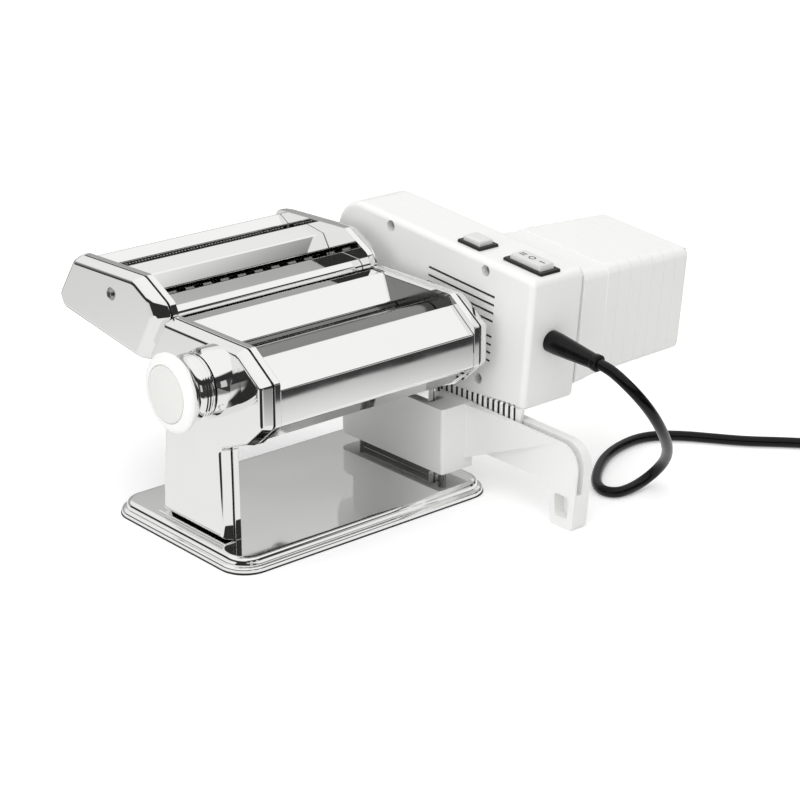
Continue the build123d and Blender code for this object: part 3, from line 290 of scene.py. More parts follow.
def finish_of(slot_name):
    if not FINISHES:
        FINISHES.update(make_finishes())
    return FINISHES[slot_name]


# ---- shared modelling steps
def leave_edit():
    bpy.ops.object.mode_set(mode="OBJECT")


def apply_transform():
    bpy.ops.object.transform_apply(location=True, rotation=True, scale=True)


def select_everything():
    bpy.ops.mesh.select_all(action="SELECT")


def extrude(x, y, z):
    """Extrudes what is selected, by millimetres."""
    bpy.ops.mesh.extrude_region_move(TRANSFORM_OT_translate={"value": (x * MM, y * MM, z * MM)})


def shift(x, y, z):
    """Moves what is selected, by millimetres."""
    bpy.ops.transform.translate(value=(x * MM, y * MM, z * MM))


def close_up():
    """Turns every face of a closed piece outwards and leaves edit mode."""
    select_everything()
    bpy.ops.mesh.normals_make_consistent(inside=False)
    leave_edit()


def deselect():
    if bpy.context.mode != "OBJECT":
        leave_edit()
    bpy.ops.object.select_all(action="DESELECT")


def make_active(piece):
    deselect()
    piece.select_set(True)
    bpy.context.view_layer.objects.active = piece


def edit(piece):
    make_active(piece)
    bpy.ops.object.mode_set(mode="EDIT")
    select_everything()


def round_edges(piece, width, angle=38.0, segments=2):
    """Smooths a piece, breaks its edges and turns each corner's normals to its largest face."""
    make_active(piece)
    bpy.ops.object.shade_smooth_by_angle(angle=math.radians(30))
    if width:
        rounding = piece.modifiers.new("edges", "BEVEL")
        rounding.width = width
        rounding.segments = segments
        rounding.limit_method = "ANGLE"
        rounding.angle_limit = math.radians(angle)
        rounding.use_clamp_overlap = True
        bpy.ops.object.modifier_apply(modifier="edges")
    flat = piece.modifiers.new("flat", "WEIGHTED_NORMAL")
    flat.mode = "FACE_AREA"
    flat.weight = 100
    flat.keep_sharp = True
    bpy.ops.object.modifier_apply(modifier="flat")


def settle(piece, name, slot_name, body):
    """Names a finished piece, puts its place in its mesh and gives it finish and body."""
    make_active(piece)
    apply_transform()
    piece.name = name
    piece.data.name = name
    piece.data.materials.clear()
    piece.data.materials.append(finish_of(slot_name))
    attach(piece, body)
    return piece


def pick(piece, what, test):
    """In edit mode, selects the verts, edges or faces whose middle, in millimetres, passes the test."""
    bpy.ops.mesh.select_mode(type={"verts": "VERT", "edges": "EDGE", "faces": "FACE"}[what])
    bpy.ops.mesh.select_all(action="DESELECT")
    mesh = bmesh.from_edit_mesh(piece.data)
    for item in getattr(mesh, what):
        corners = [item.co] if what == "verts" else [corner.co for corner in item.verts]
        middle = sum(corners, Vector()) / len(corners) / MM
        if test(middle):
            item.select_set(True)
    bmesh.update_edit_mesh(piece.data)


def plate(points, x):
    """A flat convex plate across X: a plane with its corners cut off along each edge."""
    deselect()
    low = [min(point[i] for point in points) for i in (0, 1)]
    high = [max(point[i] for point in points) for i in (0, 1)]
    middle = [(a + b) / 2 for a, b in zip(low, high)]
    bpy.ops.mesh.primitive_plane_add(size=1, rotation=(0, math.pi / 2, 0),
                                     location=(x * MM, middle[0] * MM, middle[1] * MM))
    piece = bpy.context.object
    piece.scale = ((high[1] - low[1]) * MM, (high[0] - low[0]) * MM, 1)
    apply_transform()
    edit(piece)
    for (y, z), (y_next, z_next) in zip(points, points[1:] + points[:1]):
        away = Vector((0, z_next - z, y - y_next)).normalized()
        if away.dot(Vector((0, middle[0] - y, middle[1] - z))) > 0:
            away = -away
        select_everything()
        bpy.ops.mesh.bisect(plane_co=(x * MM, y * MM, z * MM), plane_no=away, clear_outer=True)
    select_everything()
    bpy.ops.mesh.remove_doubles(threshold=2e-5)
    return piece


def face_outwards(piece, side):
    """Turns a flat plate so that it looks to the left (-1) or to the right (1)."""
    mesh = bmesh.from_edit_mesh(piece.data)
    if any(face.normal.x * side < 0 for face in mesh.faces):
        select_everything()
        bpy.ops.mesh.flip_normals()


def soften(piece, test, offset, segments, corners=False):
    """Bevels the picked corners or edges of a piece in edit mode."""
    pick(piece, "verts" if corners else "edges", test)
    bpy.ops.mesh.bevel(offset=offset * MM, segments=segments, profile=0.5,
                       affect="VERTICES" if corners else "EDGES", clamp_overlap=True)


def hollow(piece, wall):
    """Gives an open shell its wall, inwards."""
    leave_edit()
    make_active(piece)
    skin = piece.modifiers.new("wall", "SOLIDIFY")
    skin.thickness = wall * MM
    skin.offset = -1.0
    skin.use_even_offset = True
    bpy.ops.object.modifier_apply(modifier="wall")


def dress(node, round_mm=None):
    """A cleaned copy of a solid, its facets joined into whole faces and its edges just broken."""
    piece = bpy.data.objects.new("dressed", frame["nodes"][node].data.copy())
    bpy.context.scene.collection.objects.link(piece)
    edit(piece)
    bpy.ops.mesh.customdata_custom_splitnormals_clear()
    bpy.ops.mesh.remove_doubles(threshold=1e-6)
    bpy.ops.mesh.dissolve_limited(angle_limit=math.radians(0.4))
    if node in FLANGED:
        for side in SIDES:
            select_everything()
            bpy.ops.mesh.bisect(plane_co=(side * FLANGE_END * MM, 0, 0), plane_no=(side, 0, 0),
                                clear_outer=True, use_fill=True)
    leave_edit()
    round_edges(piece, sizes().edge_round if round_mm is None else round_mm * MM)
    settle(piece, node + "_dressed", SLOT_OF[node], body_of(node))
    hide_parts(node)
    return piece


def turned(name, axis, profile, slot_name, body, width=0.0):
    """A piece turned about X through (y, z): a ring is extruded and resized along (x, radius)."""
    deselect()
    x, radius = profile[0]
    bpy.ops.mesh.primitive_circle_add(
        vertices=sizes().facets, radius=radius * MM, rotation=(0, math.pi / 2, 0),
        location=(x * MM, axis[0] * MM, axis[1] * MM))
    piece = bpy.context.object
    apply_transform()
    edit(piece)
    if radius:
        bpy.ops.mesh.edge_face_add()
        select_everything()
    for here, onward in zip(profile, profile[1:]):
        extrude(onward[0] - here[0], 0, 0)
        grow = onward[1] / here[1]
        bpy.ops.transform.resize(value=(1, grow, grow),
                                 center_override=(onward[0] * MM, axis[0] * MM, axis[1] * MM))
    close_up()
    round_edges(piece, width * MM)
    return settle(piece, name, slot_name, body)


# ---- operators
class PASTA_OT_finishes(bpy.types.Operator):
    """Give every solid of the part its own finish"""
    bl_idname = "object.pasta_finishes"
    bl_label = "Finishes"

    def execute(self, context):
        for name, node in frame["nodes"].items():
            node.data.materials.clear()
            node.data.materials.append(finish_of(SLOT_OF[name]))
        return {"FINISHED"}


CAMERA_PLACE = (-0.78894, -1.01040, 0.55550)
CAMERA_WAY = (0.6103, 0.7076, -0.3561)
CAMERA_LENS = 100.1


class PASTA_OT_camera(bpy.types.Operator):
    """Set the camera at its three-quarter view from the dial's side"""
    bl_idname = "object.pasta_camera"
    bl_label = "Camera"

    def execute(self, context):
        deselect()
        bpy.ops.object.camera_add(location=CAMERA_PLACE)
        camera = context.object
        camera.name = "studio_camera"
        camera.rotation_euler = Vector(CAMERA_WAY).to_track_quat("-Z", "Y").to_euler()
        camera.data.lens = CAMERA_LENS
        camera.data.sensor_width = 36.0
        camera.data.clip_end = 50.0
        context.scene.camera = camera
        return {"FINISHED"}


COIL_START = math.radians(204.3)
COIL_STEPS = 16           # control points in a turn
COIL_CROSSING = 0.8125    # the share of a turn after which the flex moves over to the next lane
COIL_LANES = ((42.0, 3.5), (35.0, 3.5), (35.0, 10.5), (42.0, 10.5), (38.5, 17.4))    # (radius, height)


def coil_points():
    """Four turns round the coil and a last rising part turn that ends in the plug's neck."""
    points = []
    for turn, (radius, height) in enumerate(COIL_LANES):
        last = turn == len(COIL_LANES) - 1
        onward = COIL_LANES[turn if last else turn + 1]
        for step in range(7 if last else COIL_STEPS):
            share = step / COIL_STEPS
            blend = max(0.0, (share - COIL_CROSSING) / (1 - COIL_CROSSING)) * 0.75
            r = radius + (onward[0] - radius) * blend
            angle = COIL_START + 2 * math.pi * share
            points.append((COIL_CENTRE[0] + r * math.cos(angle), COIL_CENTRE[1] + r * math.sin(angle),
                           height + (onward[1] - height) * blend))
    return points[1:]


class PASTA_OT_cord(bpy.types.Operator):
    """Lay the mains cord from its sleeve across the table into its put-away coil"""
    bl_idname = "object.pasta_cord"
    bl_label = "Mains cord"

    def execute(self, context):
        points = list(CORD_ROUTE) + coil_points()
        curve = bpy.data.curves.new("mains_cord", "CURVE")
        curve.dimensions = "3D"
        spline = curve.splines.new("NURBS")
        spline.points.add(len(points) - 1)
        for control, place in zip(spline.points, points):
            control.co = (*[v * MM for v in place], 1.0)
        spline.order_u = 3
        spline.use_endpoint_u = True
        spline.resolution_u = 8
        curve.bevel_depth = sizes().cord_diameter / 2
        curve.bevel_resolution = 5
        curve.use_fill_caps = True
        cord = bpy.data.objects.new("mains_cord", curve)
        context.scene.collection.objects.link(cord)
        curve.materials.append(finish_of("black_pvc"))
        cord.visible_glossy = False
        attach(cord, "root")
        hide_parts("cord", "cord_coil")
        cord_length(points)
        return {"FINISHED"}


def cord_length(points):
    """The flex is a little shorter than its control runs: each corner is cut halfway."""
    runs = [Vector(b) - Vector(a) for a, b in zip(points, points[1:])]
    total = runs[0].length / 2 + runs[-1].length / 2
    for before, after in zip(runs, runs[1:]):
        turn = before.angle(after) / 2
        total += (before.length + after.length) / 2 * (1 + 2 * math.cos(turn)) / 3
    return total * MM


FLANGED = {"left_side_plate", "right_side_plate", "cutter_plates"}
DRESSED = ("left_side_plate", "right_side_plate", "front_hood", "rear_hood", "cutter_plates",
           "cutter_rear_guide", "cutter_bridge", "cutter_apron", "gearbox_case_inner",
           "gearbox_case_outer", "pulse_bezel", "pulse_button", "rocker_bezel", "rocker_switch",
           "strain_relief", "cutter_screws", "index_pin", "wide_roller_front", "wide_roller_rear",
           "fine_roller_front", "fine_roller_rear")


class PASTA_OT_shells(bpy.types.Operator):
    """Join the facets of sheet metal and mouldings and break their edges"""
    bl_idname = "object.pasta_shells"
    bl_label = "Sheet metal and shells"

    def execute(self, context):
        for node in DRESSED:
            dress(node)
        return {"FINISHED"}


def draw_leg(piece):
    """Draws the leg out of the head's bottom edge and joins both in one face."""
    pick(piece, "edges", lambda m: -20 < m.y < 5 and m.z < 74)
    extrude(0, 0, -LEG_DRAW)
    for (y, z), (foot_y, foot_z) in zip((HEAD[5], HEAD[6]), LEG_FOOT):
        pick(piece, "verts", lambda m: abs(m.y - y) < 1 and abs(m.z - z + LEG_DRAW) < 1)
        shift(0, foot_y - y, foot_z - z + LEG_DRAW)
    pick(piece, "faces", lambda m: True)
    bpy.ops.mesh.dissolve_faces()


def side_cover(side):
    """A pressed cover: plate with a leg, drafted sides, and a generous round to its polished face."""
    piece = plate(HEAD, side * COVER_RIM)
    draw_leg(piece)
    face_outwards(piece, side)
    soften(piece, lambda m: m.z > 30, COVER_CORNER, 4, corners=True)
    pick(piece, "faces", lambda m: True)
    bpy.ops.mesh.inset(thickness=COVER_CORNER * MM, depth=(COVER_FACE - COVER_RIM) * MM,
                       use_even_offset=True)
    soften(piece, lambda m: abs(m.x - side * COVER_FACE) < 0.1, 3.4, 6)
    hollow(piece, COVER_WALL)
    round_edges(piece, 0.2 * MM)
    node = SIDES[side] + "_side_cover"
    settle(piece, node + "_pressed", "polished_chrome", body_of(node))
    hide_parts(node)


def cutter_cap(side):
    """A pressed cap of the cutter head: rim and face are two plates, bridged and rounded."""
    plates = []
    for points, x in ((CAP_RIM, COVER_RIM), (CAP_FACE, COVER_FACE)):
        plates.append(plate(points, side * x))
        soften(plates[-1], lambda m: True, COVER_CORNER, 4, corners=True)
        leave_edit()
    rim, face = plates
    make_active(rim)
    face.select_set(True)
    bpy.ops.object.join()
    edit(rim)
    pick(rim, "faces", lambda m: abs(m.x - side * COVER_RIM) < 0.1)
    bpy.ops.mesh.delete(type="ONLY_FACE")
    bpy.ops.mesh.select_mode(type="EDGE")
    select_everything()
    bpy.ops.mesh.bridge_edge_loops()
    select_everything()
    bpy.ops.mesh.normals_make_consistent(inside=False)
    soften(rim, lambda m: abs(m.x - side * COVER_FACE) < 0.1, 3.2, 6)
    hollow(rim, COVER_WALL)
    round_edges(rim, 0.2 * MM)
    return settle(rim, "cutter_cap_" + SIDES[side], "polished_chrome", "cutter_head")


def select_largest(piece):
    """Selects only the largest face of a piece in edit mode."""
    largest = max(bmesh.from_edit_mesh(piece.data).faces, key=lambda face: face.calc_area())
    bpy.ops.mesh.select_all(action="DESELECT")
    largest.select_set(True)


def seam(points, side, name, body, leg=False):
    """A black strip in the gap between a plate's turned edge and its cover, a little below both: painted
    shade of the gap.
    """
    piece = plate(points, side * FLANGE_END)
    if leg:
        draw_leg(piece)
    face_outwards(piece, side)
    soften(piece, lambda m: m.z > 30, COVER_CORNER, 3, corners=True)
    pick(piece, "faces", lambda m: True)
    bpy.ops.mesh.inset(thickness=0.9 * MM, use_even_offset=True)
    select_largest(piece)
    bpy.ops.mesh.select_all(action="INVERT")
    bpy.ops.mesh.delete(type="FACE")
    select_everything()
    bpy.ops.mesh.inset(thickness=1.4 * MM, use_even_offset=True)
    select_largest(piece)
    bpy.ops.mesh.delete(type="ONLY_FACE")
    select_everything()
    extrude(side * (COVER_RIM + 0.2 - FLANGE_END), 0, 0)
    close_up()
    round_edges(piece, 0)
    return settle(piece, name, "pad_rubber", body)


def cube(middle, size):
    """A box of a size about its middle, in edit mode."""
    deselect()
    bpy.ops.mesh.primitive_cube_add(size=1, location=[v * MM for v in middle])
    piece = bpy.context.object
    piece.scale = [v * MM for v in size]
    apply_transform()
    edit(piece)
    return piece


def block(name, near, far, slot_name, body, rounding):
    """A box between two corners with rounded edges."""
    piece = cube([(a + b) / 2 for a, b in zip(near, far)], [abs(b - a) for a, b in zip(near, far)])
    soften(piece, lambda m: True, rounding, 4)
    leave_edit()
    round_edges(piece, 0)
    return settle(piece, name, slot_name, body)


COMB_TEETH = 60
COMB_PITCH = 2.35


class PASTA_OT_covers(bpy.types.Operator):
    """Press the side covers and the cutter head's caps, with black strips behind them that paint the shade
    of their gaps
    """
    bl_idname = "object.pasta_covers"
    bl_label = "Pressed covers"

    def execute(self, context):
        for side, word in SIDES.items():
            side_cover(side)
            # Black strips behind each cover and cap paint the shade in their gaps.
            seam(HEAD, side, "side_seam_" + word, "root", leg=True)
            seam(CAP_RIM, side, "cutter_seam_" + word, "cutter_head")
            block("leg_foot_" + word, (side * 79.3, -40.0, 6.5), (side * 88.1, 29.0, 9.5),
                  "polished_chrome", "root", 0.9)
        caps = [cutter_cap(side) for side in SIDES]
        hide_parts("cutter_caps")
        cross_screws()
        teeth = block("fine_comb_teeth", (-70.6, 101.9, 137.9), (-69.5, 102.75, 142.0),
                      "polished_chrome", "cutter_head", 0.15)
        row = teeth.modifiers.new("row", "ARRAY")
        row.count = COMB_TEETH
        row.use_relative_offset = False
        row.use_constant_offset = True
        row.constant_offset_displace = (COMB_PITCH * MM, 0, 0)
        make_active(teeth)
        bpy.ops.object.modifier_apply(modifier="row")
        return {"FINISHED"}


def tilt_motor(piece):
    """Takes a piece drawn straight about the drive axis to the nose-down place of the motor unit."""
    make_active(piece)
    bpy.ops.transform.rotate(value=-MOTOR_TILT, orient_axis="X", center_override=(0, 0, 0))
    shift(0, *REAR_AXIS)
    apply_transform()


CASE_LEFT = 97.5
CASE_RIGHT = 142.0
HOUSING_FRONT = -87.0
HOUSING_BACK = -4.0
HOUSING_TOP = 52.0
HOUSING_FLOOR = -25.0
HOUSING_LENGTH = 95.0
HOUSING_RISE = 12.0       # how far the floor has come up at the far end
HOUSING_STEP = 0.6        # how far each terrace stands back from the last
TERRACES = 9


def motor_housing():
    """A box that goes back from the case in terraces, with a floor that rises to the far end."""
    x = CASE_RIGHT + 0.05
    piece = plate(((HOUSING_FRONT, HOUSING_FLOOR), (HOUSING_BACK, HOUSING_FLOOR),
                   (HOUSING_BACK, HOUSING_TOP), (HOUSING_FRONT, HOUSING_TOP)), x)
    face_outwards(piece, 1)
    soften(piece, lambda m: True, 7.0, 6, corners=True)
    wide, high = HOUSING_BACK - HOUSING_FRONT, HOUSING_TOP - HOUSING_FLOOR
    run = HOUSING_LENGTH / TERRACES
    for _ in range(TERRACES):
        for reach, inwards in ((run - 1.3, 0), (0.1, 2 * HOUSING_STEP), (0.9, 0), (0.3, -HOUSING_STEP)):
            pick(piece, "faces", lambda m: abs(m.x - x) < 0.05)
            extrude(reach, 0, 0)
            x += reach
            foot = (x * MM, (HOUSING_FRONT + HOUSING_BACK) / 2 * MM, HOUSING_FLOOR * MM)
            bpy.ops.transform.resize(value=(1, 1 - inwards / wide, 1 - inwards / high),
                                     center_override=foot)
            pick(piece, "verts", lambda m: abs(m.x - x) < 0.05 and m.z < HOUSING_FLOOR + 30)
            shift(0, 0, HOUSING_RISE * reach / HOUSING_LENGTH)
    soften(piece, lambda m: abs(m.x - x) < 0.05, 4.0, 6)
    leave_edit()
    round_edges(piece, 0.18 * MM, 12.0)
    hollow(piece, 2.5)
    tilt_motor(piece)
    settle(piece, "motor_housing_moulded", "white_abs", body_of("motor_housing"))
    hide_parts("motor_housing")


RIB_TOPS = ((-19.3, 63.0), (-91.3, 64.5))
RIB_FOOT = 50.0
RIB_PITCH = 4.6
RIB_HALF = 1.25           # half a rib's width


def intake_ribs(body):
    """A row of upright ribs over a black plate that paints the shade of an opening in the case's lower edge.
    """
    (y0, z0), (y1, z1) = RIB_TOPS
    back = plate(((y0, RIB_FOOT), (y1, RIB_FOOT), (y1, z1), (y0, z0)), CASE_LEFT - 0.15)
    pick(back, "faces", lambda m: True)
    extrude(0.1, 0, 0)
    close_up()
    settle(back, "intake_shadow", "black_abs", body)
    # A black plate inside the case paints the shade behind the vents.
    block("vent_shadow", (CASE_LEFT + 0.7, -80.0, 78.0), (CASE_LEFT + 1.1, 0.0, 140.0), "black_abs",
          body, 0.1)
    ribs = int(abs(y1 - y0) / RIB_PITCH)
    for rib in range(ribs):
        y = y0 + (y1 - y0) * (rib + 0.5) / ribs
        top = z0 + (z1 - z0) * (rib + 0.5) / ribs + 1.0
        near, far = y - RIB_HALF, y + RIB_HALF
        bar = plate(((near, RIB_FOOT), (far, RIB_FOOT), (far, top), (near, top)), CASE_LEFT - 0.1)
        face_outwards(bar, -1)
        pick(bar, "faces", lambda m: True)
        extrude(-1.1, 0, 0)
        pick(bar, "verts", lambda m: m.x < CASE_LEFT - 0.6 and m.z > top - 0.5)
        shift(0, 0, -1.2)
        leave_edit()
        round_edges(bar, 0.4 * MM)
        settle(bar, "intake_rib_" + str(rib), "white_abs", body)


ARM_INSIDE = 89.5         # x of the arm's inner wall, then of the groove's two walls
GROOVE_NEAR = 97.3
GROOVE_FAR = 101.8
BLOCK_CORNER = (70.5, -54.0)


def bracket():
    """The support bracket: a thin-walled arm beside the leg's block, with softened corners."""
    piece = dress("support_bracket", 0)
    edit(piece)
    for test, way in ((lambda m: m.y < -120, (0, 6, 0)),
                      (lambda m: m.y < -60 and abs(m.x - ARM_INSIDE) < 0.6, (5, 0, 0)),
                      (lambda m: abs(m.x - GROOVE_FAR) < 0.3, (-1.2, 0, 0)),
                      (lambda m: abs(m.x - GROOVE_NEAR) < 0.4, (-1.4, 0, 0))):
        pick(piece, "verts", test)
        shift(*way)
    soften(piece, lambda m: abs(m.x - BLOCK_CORNER[0]) < 0.1 and abs(m.y - BLOCK_CORNER[1]) < 0.1, 5.0, 6)
    leave_edit()
    round_edges(piece, 0.9 * MM, segments=3)


def mark(name, place, stroke, body):
    """One printed stroke of the rocker's legend: a bar, or a ring when the stroke is round."""
    if stroke == "round":
        deselect()
        middle = [v * MM for v in place]
        bpy.ops.mesh.primitive_torus_add(major_radius=2.1 * MM, minor_radius=0.4 * MM, location=middle,
                                         major_segments=40, minor_segments=8)
        piece = bpy.context.object
        edit(piece)
        bpy.ops.transform.resize(value=(0.9, 1.0, 0.2), center_override=middle)
    else:
        piece = cube(place, (0.8, 4.6, 0.12))
        soften(piece, lambda m: abs(m.z - place[2]) < 0.01, 0.15, 2)
    leave_edit()
    make_active(piece)
    apply_transform()
    tilt_motor(piece)
    settle(piece, name, "black_abs", body)


LEGEND = (("legend_one", 115.5, -75.0, "bar"), ("legend_off", 115.5, -66.3, "round"),
          ("legend_two_a", 114.4, -58.4, "bar"), ("legend_two_b", 116.6, -58.4, "bar"))


class PASTA_OT_mouldings(bpy.types.Operator):
    """Mould the motor housing, the bracket, the air intake's ribs and the rocker's legend"""
    bl_idname = "object.pasta_mouldings"
    bl_label = "Plastic mouldings"

    def execute(self, context):
        motor_housing()
        intake_ribs(body_of("gearbox_case_inner"))
        bracket()
        places = [v.co / MM - Vector((0, *REAR_AXIS)) for v in frame["nodes"]["rocker_switch"].data.vertices]
        top = max(v.z * math.cos(MOTOR_TILT) - v.y * math.sin(MOTOR_TILT) for v in places) + 0.06
        for name, x, y, stroke in LEGEND:
            mark(name, (x, y, top), stroke, body_of("rocker_switch"))
        return {"FINISHED"}


BASE_CENTRE = (1.9, -1.6)
BASE_SIZE = (200.8, 133.8)
# How far in and how far up each step goes, from the outer bead over the rim to the flat tray.
BASE_STEPS = ((0.25, 0.8), (0.75, 0.7), (1.1, 0.35), (0.9, 0.05), (0.25, 0.35), (0.2, 1.5), (0.35, 1.2),
              (0.8, 0.9), (1.0, 0.5), (1.5, 0.15))


def base_plate(bottom, wider, corner, height):
    """A rounded plate of the base's outline, in edit mode with its top selected."""
    deselect()
    bpy.ops.mesh.primitive_plane_add(size=1, location=[v * MM for v in (*BASE_CENTRE, bottom)])
    piece = bpy.context.object
    piece.scale = (*[(v + wider) * MM for v in BASE_SIZE], 1)
    apply_transform()
    edit(piece)
    soften(piece, lambda m: True, corner, 14, corners=True)
    pick(piece, "faces", lambda m: True)
    extrude(0, 0, height)
    return piece


class PASTA_OT_base(bpy.types.Operator):
    """Press the base: a rounded plate raised in soft steps to its tray"""
    bl_idname = "object.pasta_base"
    bl_label = "Base"

    def execute(self, context):
        piece = base_plate(0.5, 0.0, 18.0, 2.0)
        for thickness, depth in BASE_STEPS:
            bpy.ops.mesh.inset(thickness=thickness * MM, depth=depth * MM, use_even_offset=True)
        pick(piece, "faces", lambda m: m.z < 0.6)
        bpy.ops.mesh.delete(type="FACE")
        hollow(piece, 1.2)
        round_edges(piece, 0)
        settle(piece, "base_pressed", "polished_chrome", "root")
        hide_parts("base_plate")
        sole = base_plate(0.02, 0.3, 17.6, 1.0)
        close_up()
        round_edges(sole, 0)
        settle(sole, "base_sole", "pad_rubber", "root")
        return {"FINISHED"}


def cross_screws():
    """A black ring round each cutter screw and a black cross on its head: painted shade of the gap round the
    head and of its cross recess.
    """
    xs = [v.co.x / MM for v in frame["nodes"]["cutter_screws"].data.vertices]
    for (side, word), front in zip(SIDES.items(), (min(xs), max(xs))):
        # A black disc just proud of the face paints the shade of the gap round the head.
        turned("screw_joint_" + word, CUTTER_SCREW,
               [(side * 86.9, 3.7), (side * 87.06, 3.7), (side * 87.06, 0.5)], "black_abs", "cutter_head")
        # Two thin black bars paint the shade of the head's cross recess.
        for turn, (wide, high) in enumerate(((0.55, 3.0), (3.0, 0.55))):
            bar = cube((front + side * 0.02, *CUTTER_SCREW), (0.1, wide, high))
            soften(bar, lambda m: abs(m.x * side - front * side - 0.02) < 0.01, 0.12, 2)
            leave_edit()
            settle(bar, "screw_cross_%s_%d" % (word, turn), "black_abs", "cutter_head")


DIAL_BORE = 3.8
DIAL_BACK = -102.7
RING_BACK = -118.7
RING_FRONT = -124.2


def arc(start, middle, end, steps):
    """Points along a soft curve through three (x, radius) places, without its first."""
    points = []
    for step in range(1, steps + 1):
        t = step / steps
        pull = [2 * m - (a + b) / 2 for a, m, b in zip(start, middle, end)]
        points.append(tuple((1 - t) ** 2 * a + 2 * t * (1 - t) * p + t * t * b
                            for a, p, b in zip(start, pull, end)))
    return points


def groove(x, radius):
    """A shallow round groove turned in a collar, with the land after it."""
    return [*arc((x, radius), (x - 0.45, radius - 0.5), (x - 0.9, radius), 5), (x - 1.5, radius)]


INDEX_X = -98.6
INDEX_ANGLE = math.radians(-154.5)


def index_socket():
    """The small hole in the boss that the index looks into: a chrome rim round a black disc that paints the
    shade inside the bore.
    """
    outwards = Vector((0.0, math.cos(INDEX_ANGLE), math.sin(INDEX_ANGLE)))
    # The black disc sits just under the rim's hole as painted shade of the bore.
    for name, reach, radius, hole, slot_name in (("index_rim", 20.3, 2.4, 0.55, "polished_chrome"),
                                                 ("index_bore", 20.15, 2.0, 0.0, "black_abs")):
        deselect()
        place = Vector((INDEX_X, *DIAL_AXIS)) + outwards * reach
        bpy.ops.mesh.primitive_circle_add(vertices=40, radius=radius * MM, fill_type="NGON",
                                          location=place * MM,
                                          rotation=outwards.to_track_quat("Z", "Y").to_euler())
        piece = bpy.context.object
        apply_transform()
        edit(piece)
        if hole:
            bpy.ops.mesh.inset(thickness=hole * MM, depth=0.12 * MM)
            bpy.ops.mesh.delete(type="ONLY_FACE")
            select_everything()
        extrude(*(-outwards * 0.8))
        close_up()
        round_edges(piece, 0)
        settle(piece, name, slot_name, "root")


class PASTA_OT_dial(bpy.types.Operator):
    """Turn the thickness dial: boss, grooved collar, white ring and pale dome"""
    bl_idname = "object.pasta_dial"
    bl_label = "Thickness dial"

    def execute(self, context):
        foot, neck = (-87.0, 21.2), (-102.2, 19.5)
        boss = turned("dial_boss_turned", DIAL_AXIS,
                      [(-86.9, DIAL_BORE), (-86.9, 21.2), foot, *arc(foot, (-95.5, 20.9), neck, 14),
                       (-102.2, DIAL_BORE)],
                      "polished_chrome", "root", 0.3)
        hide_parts("dial_boss")
        back, lip = DIAL_BACK, RING_BACK + 1.2
        collar = turned("dial_collar_turned", DIAL_AXIS,
                        [(back, DIAL_BORE), (back, 18.4),
                         *arc((back, 18.4), (back - 0.5, 19.5), (back - 1.6, 19.8), 5),
                         (back - 2.4, 19.8), *groove(back - 2.4, 19.8), *groove(back - 4.2, 19.7),
                         *groove(back - 6.0, 19.6),
                         *arc((back - 7.4, 19.5), (back - 12.2, 19.9), (lip, 21.9), 12),
                         *arc((lip, 21.9), (RING_BACK + 0.3, 22.0), (RING_BACK + 0.05, 21.4), 4),
                         (RING_BACK + 0.05, DIAL_BORE)],
                        "polished_chrome", "dial")
        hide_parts("dial_collar")
        seat = 17.25
        ring = turned("dial_ring_turned", DIAL_AXIS,
                      [(RING_BACK, DIAL_BORE), (RING_BACK, 22.6),
                       *arc((RING_BACK, 22.6), (-118.9, 23.2), (-119.5, 23.5), 4), (-120.9, 23.5),
                       *arc((-120.9, 23.5), (-122.9, 21.4), (RING_FRONT, seat + 0.4), 12),
                       *arc((RING_FRONT, seat + 0.4), (-124.15, seat + 0.1), (-123.9, seat), 3),
                       (-122.9, seat), (-122.9, DIAL_BORE)],
                      "white_abs", "dial")
        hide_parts("dial_ring")
        cap = turned("dial_cap_turned", DIAL_AXIS,
                     [(-122.85, DIAL_BORE), (-122.85, 17.0), (-123.9, 17.0),
                      *arc((-123.9, 17.0), (-124.25, 16.85), (-124.6, 16.3), 4),
                      *arc((-124.6, 16.3), (-125.85, 9.0), (-126.3, 0.6), 14), (-126.3, 0.1)],
                     "grey_abs", "dial")
        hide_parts("dial_cap")
        index_socket()
        return {"FINISHED"}


THROAT = ((-55.5, 132.0), (-58.0, 127.5), (-52.0, 116.0), (-36.0, 108.0), (-13.0, 104.0), (9.0, 132.0))


class PASTA_OT_rollers(bpy.types.Operator):
    """Turn the two smooth rollers with their journals, and line the throat's two cheeks"""
    bl_idname = "object.pasta_rollers"
    bl_label = "Dough rollers"

    def execute(self, context):
        for node, axis, bore in (("front_roller", FRONT_AXIS, 5.0), ("rear_roller", REAR_AXIS, 3.2)):
            half = [(-82.0, bore), (-82.0, 6.3), (-81.8, 6.5), (-73.0, 6.5), (-73.0, 12.3), (-72.6, 12.7)]
            other = [(-x, radius) for x, radius in reversed(half)]
            roller = turned(node + "_turned", axis, half + other, "ground_steel", body_of(node))
            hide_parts(node)
        for side, word in SIDES.items():
            cheek = plate(THROAT, side * THROAT_X)
            face_outwards(cheek, -side)
            pick(cheek, "faces", lambda m: True)
            extrude(-side * 0.35, 0, 0)
            leave_edit()
            round_edges(cheek, 0.1 * MM)
            settle(cheek, "throat_cheek_" + word, "ground_steel", "root")
        return {"FINISHED"}


def lamp(name, place, target, size, watts):
    """A square soft box that faces its target."""
    bpy.ops.object.light_add(type="AREA", location=place)
    light = bpy.context.object
    light.name = name
    light.rotation_euler = (Vector(target) - Vector(place)).to_track_quat("-Z", "Y").to_euler()
    light.data.shape = "SQUARE"
    light.data.size = size
    light.data.energy = watts
    light.visible_glossy = False


def step_between(tree, value, low, high, dark=0.0, light=1.0):
    """Carries a value smoothly from dark to light as it passes from low to high."""
    rise = ramp(tree, value, low, high, dark, light)
    rise.interpolation_type = "SMOOTHSTEP"
    return (rise, "Result")


